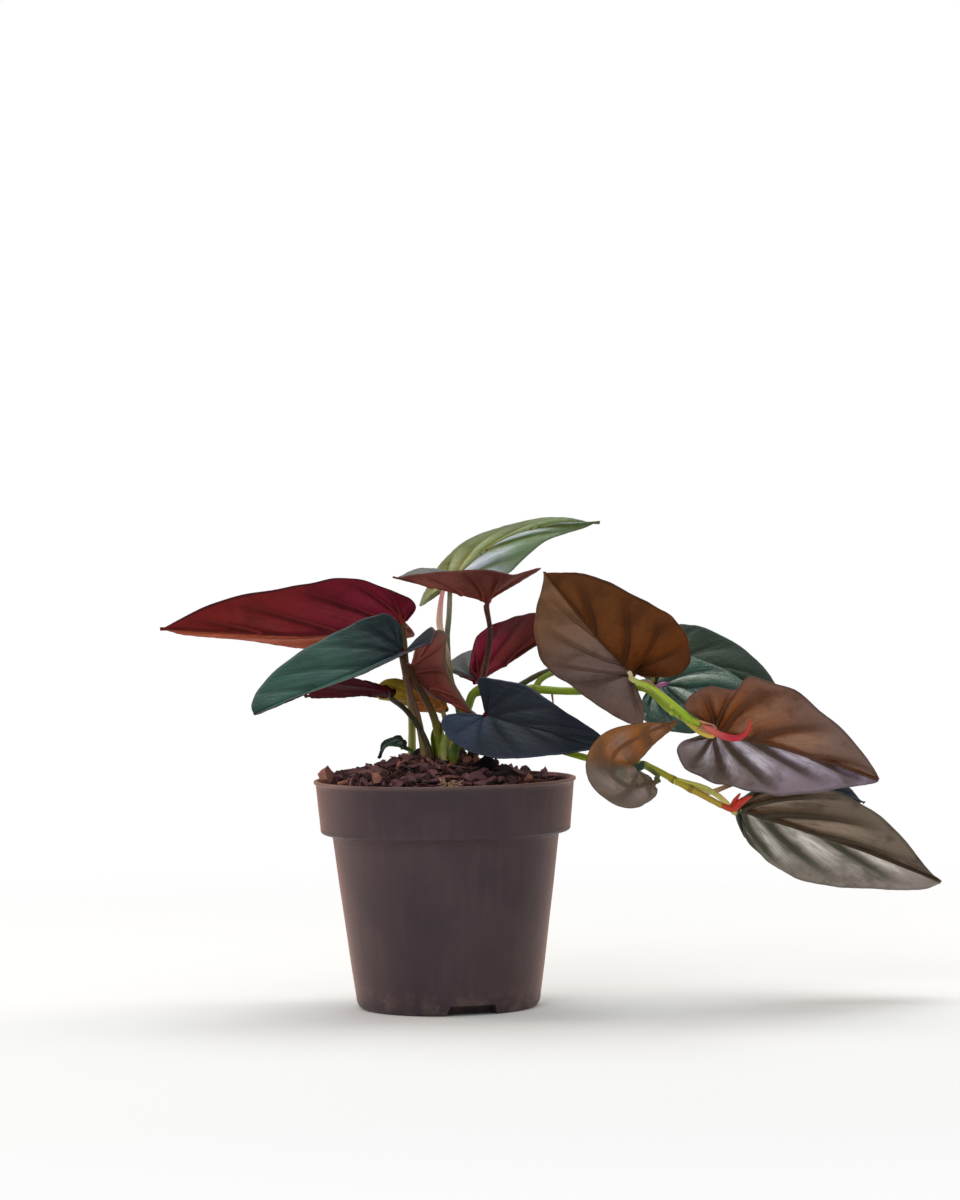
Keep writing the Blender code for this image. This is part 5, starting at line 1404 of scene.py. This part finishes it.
ROLLED = {
    "bud_at_the_foot": Rolled(
        ((4.4, -14.5, 111.5), (4.4, -14.5, 117), (6, -14.2, 121.5), (7.4, -14, 124.4)), (2.2, 3.3, 2.5, 0.3),
        ((116, 126, 40), (70, 104, 26), (100, 128, 34)), "stem", ("sheath_dark",), 0.8, 0.2),
    "pale_sheath": Rolled(
        ((0, -13.5, 112), (0.4, -12.5, 121), (2.2, -11.5, 129.5)), (2.3, 2.1, 0.4),
        ((176, 172, 104), (144, 160, 80), (160, 172, 96)), "stem", ("sheath_pale",), 0.85, 0.15),
    "top_leaf_wing": Rolled(
        ((1.4, 43.5, 193.2), (-0.4, 38, 187), (-1.4, 31, 176), (0.2, 26, 169), (2.3, 22, 161), (4.5, 19, 150)),
        (0.9, 1.3, 1.7, 1.5, 1.1, 0.5), ((200, 130, 132), (214, 184, 160), (176, 164, 118)), "stem", (), 0.6, 0.2),
    "upper_shoot": Rolled(
        ((117.3, -33.8, 129.2), (122.6, -36, 126), (128.6, -37.5, 123.6), (134, -37.6, 123.6), (137.6, -37, 127),
        (138.9, -37, 132)), (1.2, 1.75, 1.85, 1.6, 1.15, 0.4), ((226, 116, 104), (208, 46, 70), (226, 78, 64)), "red",
        ("shoot_upper",), 0.9, 0.25),
    "lower_shoot": Rolled(
        ((124.6, -26, 92.7), (130.6, -26.3, 90.6), (134.2, -26.2, 93.4), (140, -26, 96.4)), (1.4, 2.0, 2.1, 0.4),
        ((196, 74, 46), (206, 48, 40), (214, 70, 58)), "red", ("shoot_lower",), 0.8, 0.35),
    "lower_shoot_flap": Rolled(
        ((129.6, -25.6, 90.5), (131.6, -25.4, 94), (134.4, -25.2, 97.6)), (1.4, 1.7, 0.8),
        ((190, 40, 36), (206, 56, 46), (216, 84, 66)), "red", (), 0.6, 0.3),
    "magenta_bud": Rolled(
        ((97.3, -9.2, 144.4), (99.8, -10, 146.8), (103.6, -11, 147.6)), (1.1, 1.5, 0.4),
        ((140, 96, 140), (196, 116, 184), (170, 70, 140)), "red", ("bud_upper",), 0.8, 0.2),
    "aerial_root": Rolled(
        ((50.0, 4.0, 143.2), (50.3, 3.6, 140.8), (50.6, 3.6, 138.4)), (0.55, 0.45, 0.3),
        ((120, 84, 60), (126, 74, 62), (140, 96, 80)), "stem"),
    "dry_tendril": Rolled(
        ((60.8, -12.6, 114.6), (63.4, -13.4, 114.2), (66.4, -14.2, 111.6)), (0.45, 0.4, 0.25),
        ((96, 82, 58), (86, 70, 56), (104, 84, 66)), "stem"),
    "root_bud": Rolled(
        ((1.6, -19, 108), (2.6, -21, 111), (4.6, -21.5, 113.6)), (2.2, 2.5, 1.0),
        ((112, 62, 46), (142, 84, 62), (120, 70, 56)), "stem", (), 0.8, 0.2),
}

SHEATHS = {
    "centre_sheath": Sheath(
        ((-1.4, -6.5, 112), (-2.0, -6.2, 119), (-3.0, -5.6, 125), (-3.6, -5.2, 132)), (5.2, 4.0, 3.2, 2.8), 165, -30,
        ((156, 164, 70), (128, 146, 28), (122, 116, 42))),
    "high_collar": Sheath(
        ((97.5, -24.8, 144), (93.4, -23.6, 147.4), (89.6, -22.2, 150.4)), (1.6, 2.1, 2.8), 110, 20,
        ((170, 178, 96), (224, 182, 172), (206, 160, 158))),
    "shoot_collar": Sheath(
        ((114.4, -32.4, 130.4), (118.2, -34.1, 128.6), (122.4, -35.7, 126.2)), (1.7, 2.2, 3.0), 120, 200,
        ((206, 170, 100), (228, 164, 150), (240, 200, 188))),
}

GREEN_TIPS = ((103.6, -27.7, 137.7), (103.8, -20.2, 134.2))


def rolled_leaf(name, rolled):
    """A grooved tube that closes to a point at both ends."""
    count = max(8, round(even_route(rolled.route, 8)[1] / ROLLED_STEP))
    route = even_route(rolled.route, count)[0]
    share = np.linspace(0, 1, count)
    radii = blend_along(rolled.radii, share)
    radii = radii * np.clip(np.minimum(share, 1 - share) * 9 + 0.35, 0, 1)
    shape = tube(route, radii, ROLLED_SIDES, rolled.oval, rolled.crease, marks=np.zeros(count))
    return new_piece("fine_" + name, shape, stem_finish(name + "_skin", rolled.colours))


def sheath(name, spec):
    """A sheet wrapped round a route. The wrap narrows towards the tip, so the sheath opens on one side."""
    route = even_route(spec.route, SHEATH_ROWS)[0]
    side, up = tube_frames(route)
    share = np.linspace(0, 1, SHEATH_ROWS)
    radii = blend_along(spec.radii, share)[:, None, None]
    wrap = np.radians(spec.wrap) * (1 - share ** WRAP_FALL) + WRAP_LEFT
    angle = math.radians(spec.turn) + wrap[:, None] * np.linspace(-1, 1, SHEATH_COLUMNS)
    angle = angle[..., None]
    places = route[:, None] + radii * (np.cos(angle) * side[:, None] + np.sin(angle) * up[:, None])
    shape = laid_grid(places, marks=np.zeros(SHEATH_ROWS))
    piece = new_piece("fine_" + name, shape, stem_finish(name + "_skin", spec.colours))
    thicken(piece, SHEATH_THICK)
    return piece


for name, rolled in ROLLED.items():
    dress(rolled_leaf(name, rolled), rolled.slot, *rolled.nodes)
for name, spec in SHEATHS.items():
    dress(sheath(name, spec), "stem", *spec.nodes)
print("rolled leaves:", len(ROLLED), "sheaths:", len(SHEATHS))

# %% Green tips
tip_finish, tree, shader = new_finish("green_tip", 0.4, 0.3)
shader.inputs["Base Color"].default_value = paint(206, 214, 84)
shape = bmesh.new()
for place in GREEN_TIPS:
    made = bmesh.ops.create_icosphere(shape, subdivisions=2, radius=TIP_RADIUS * MM)
    bmesh.ops.translate(shape, verts=made["verts"], vec=Vector(place) * MM)
dress(new_piece("green_tips", shape, tip_finish), "stem")
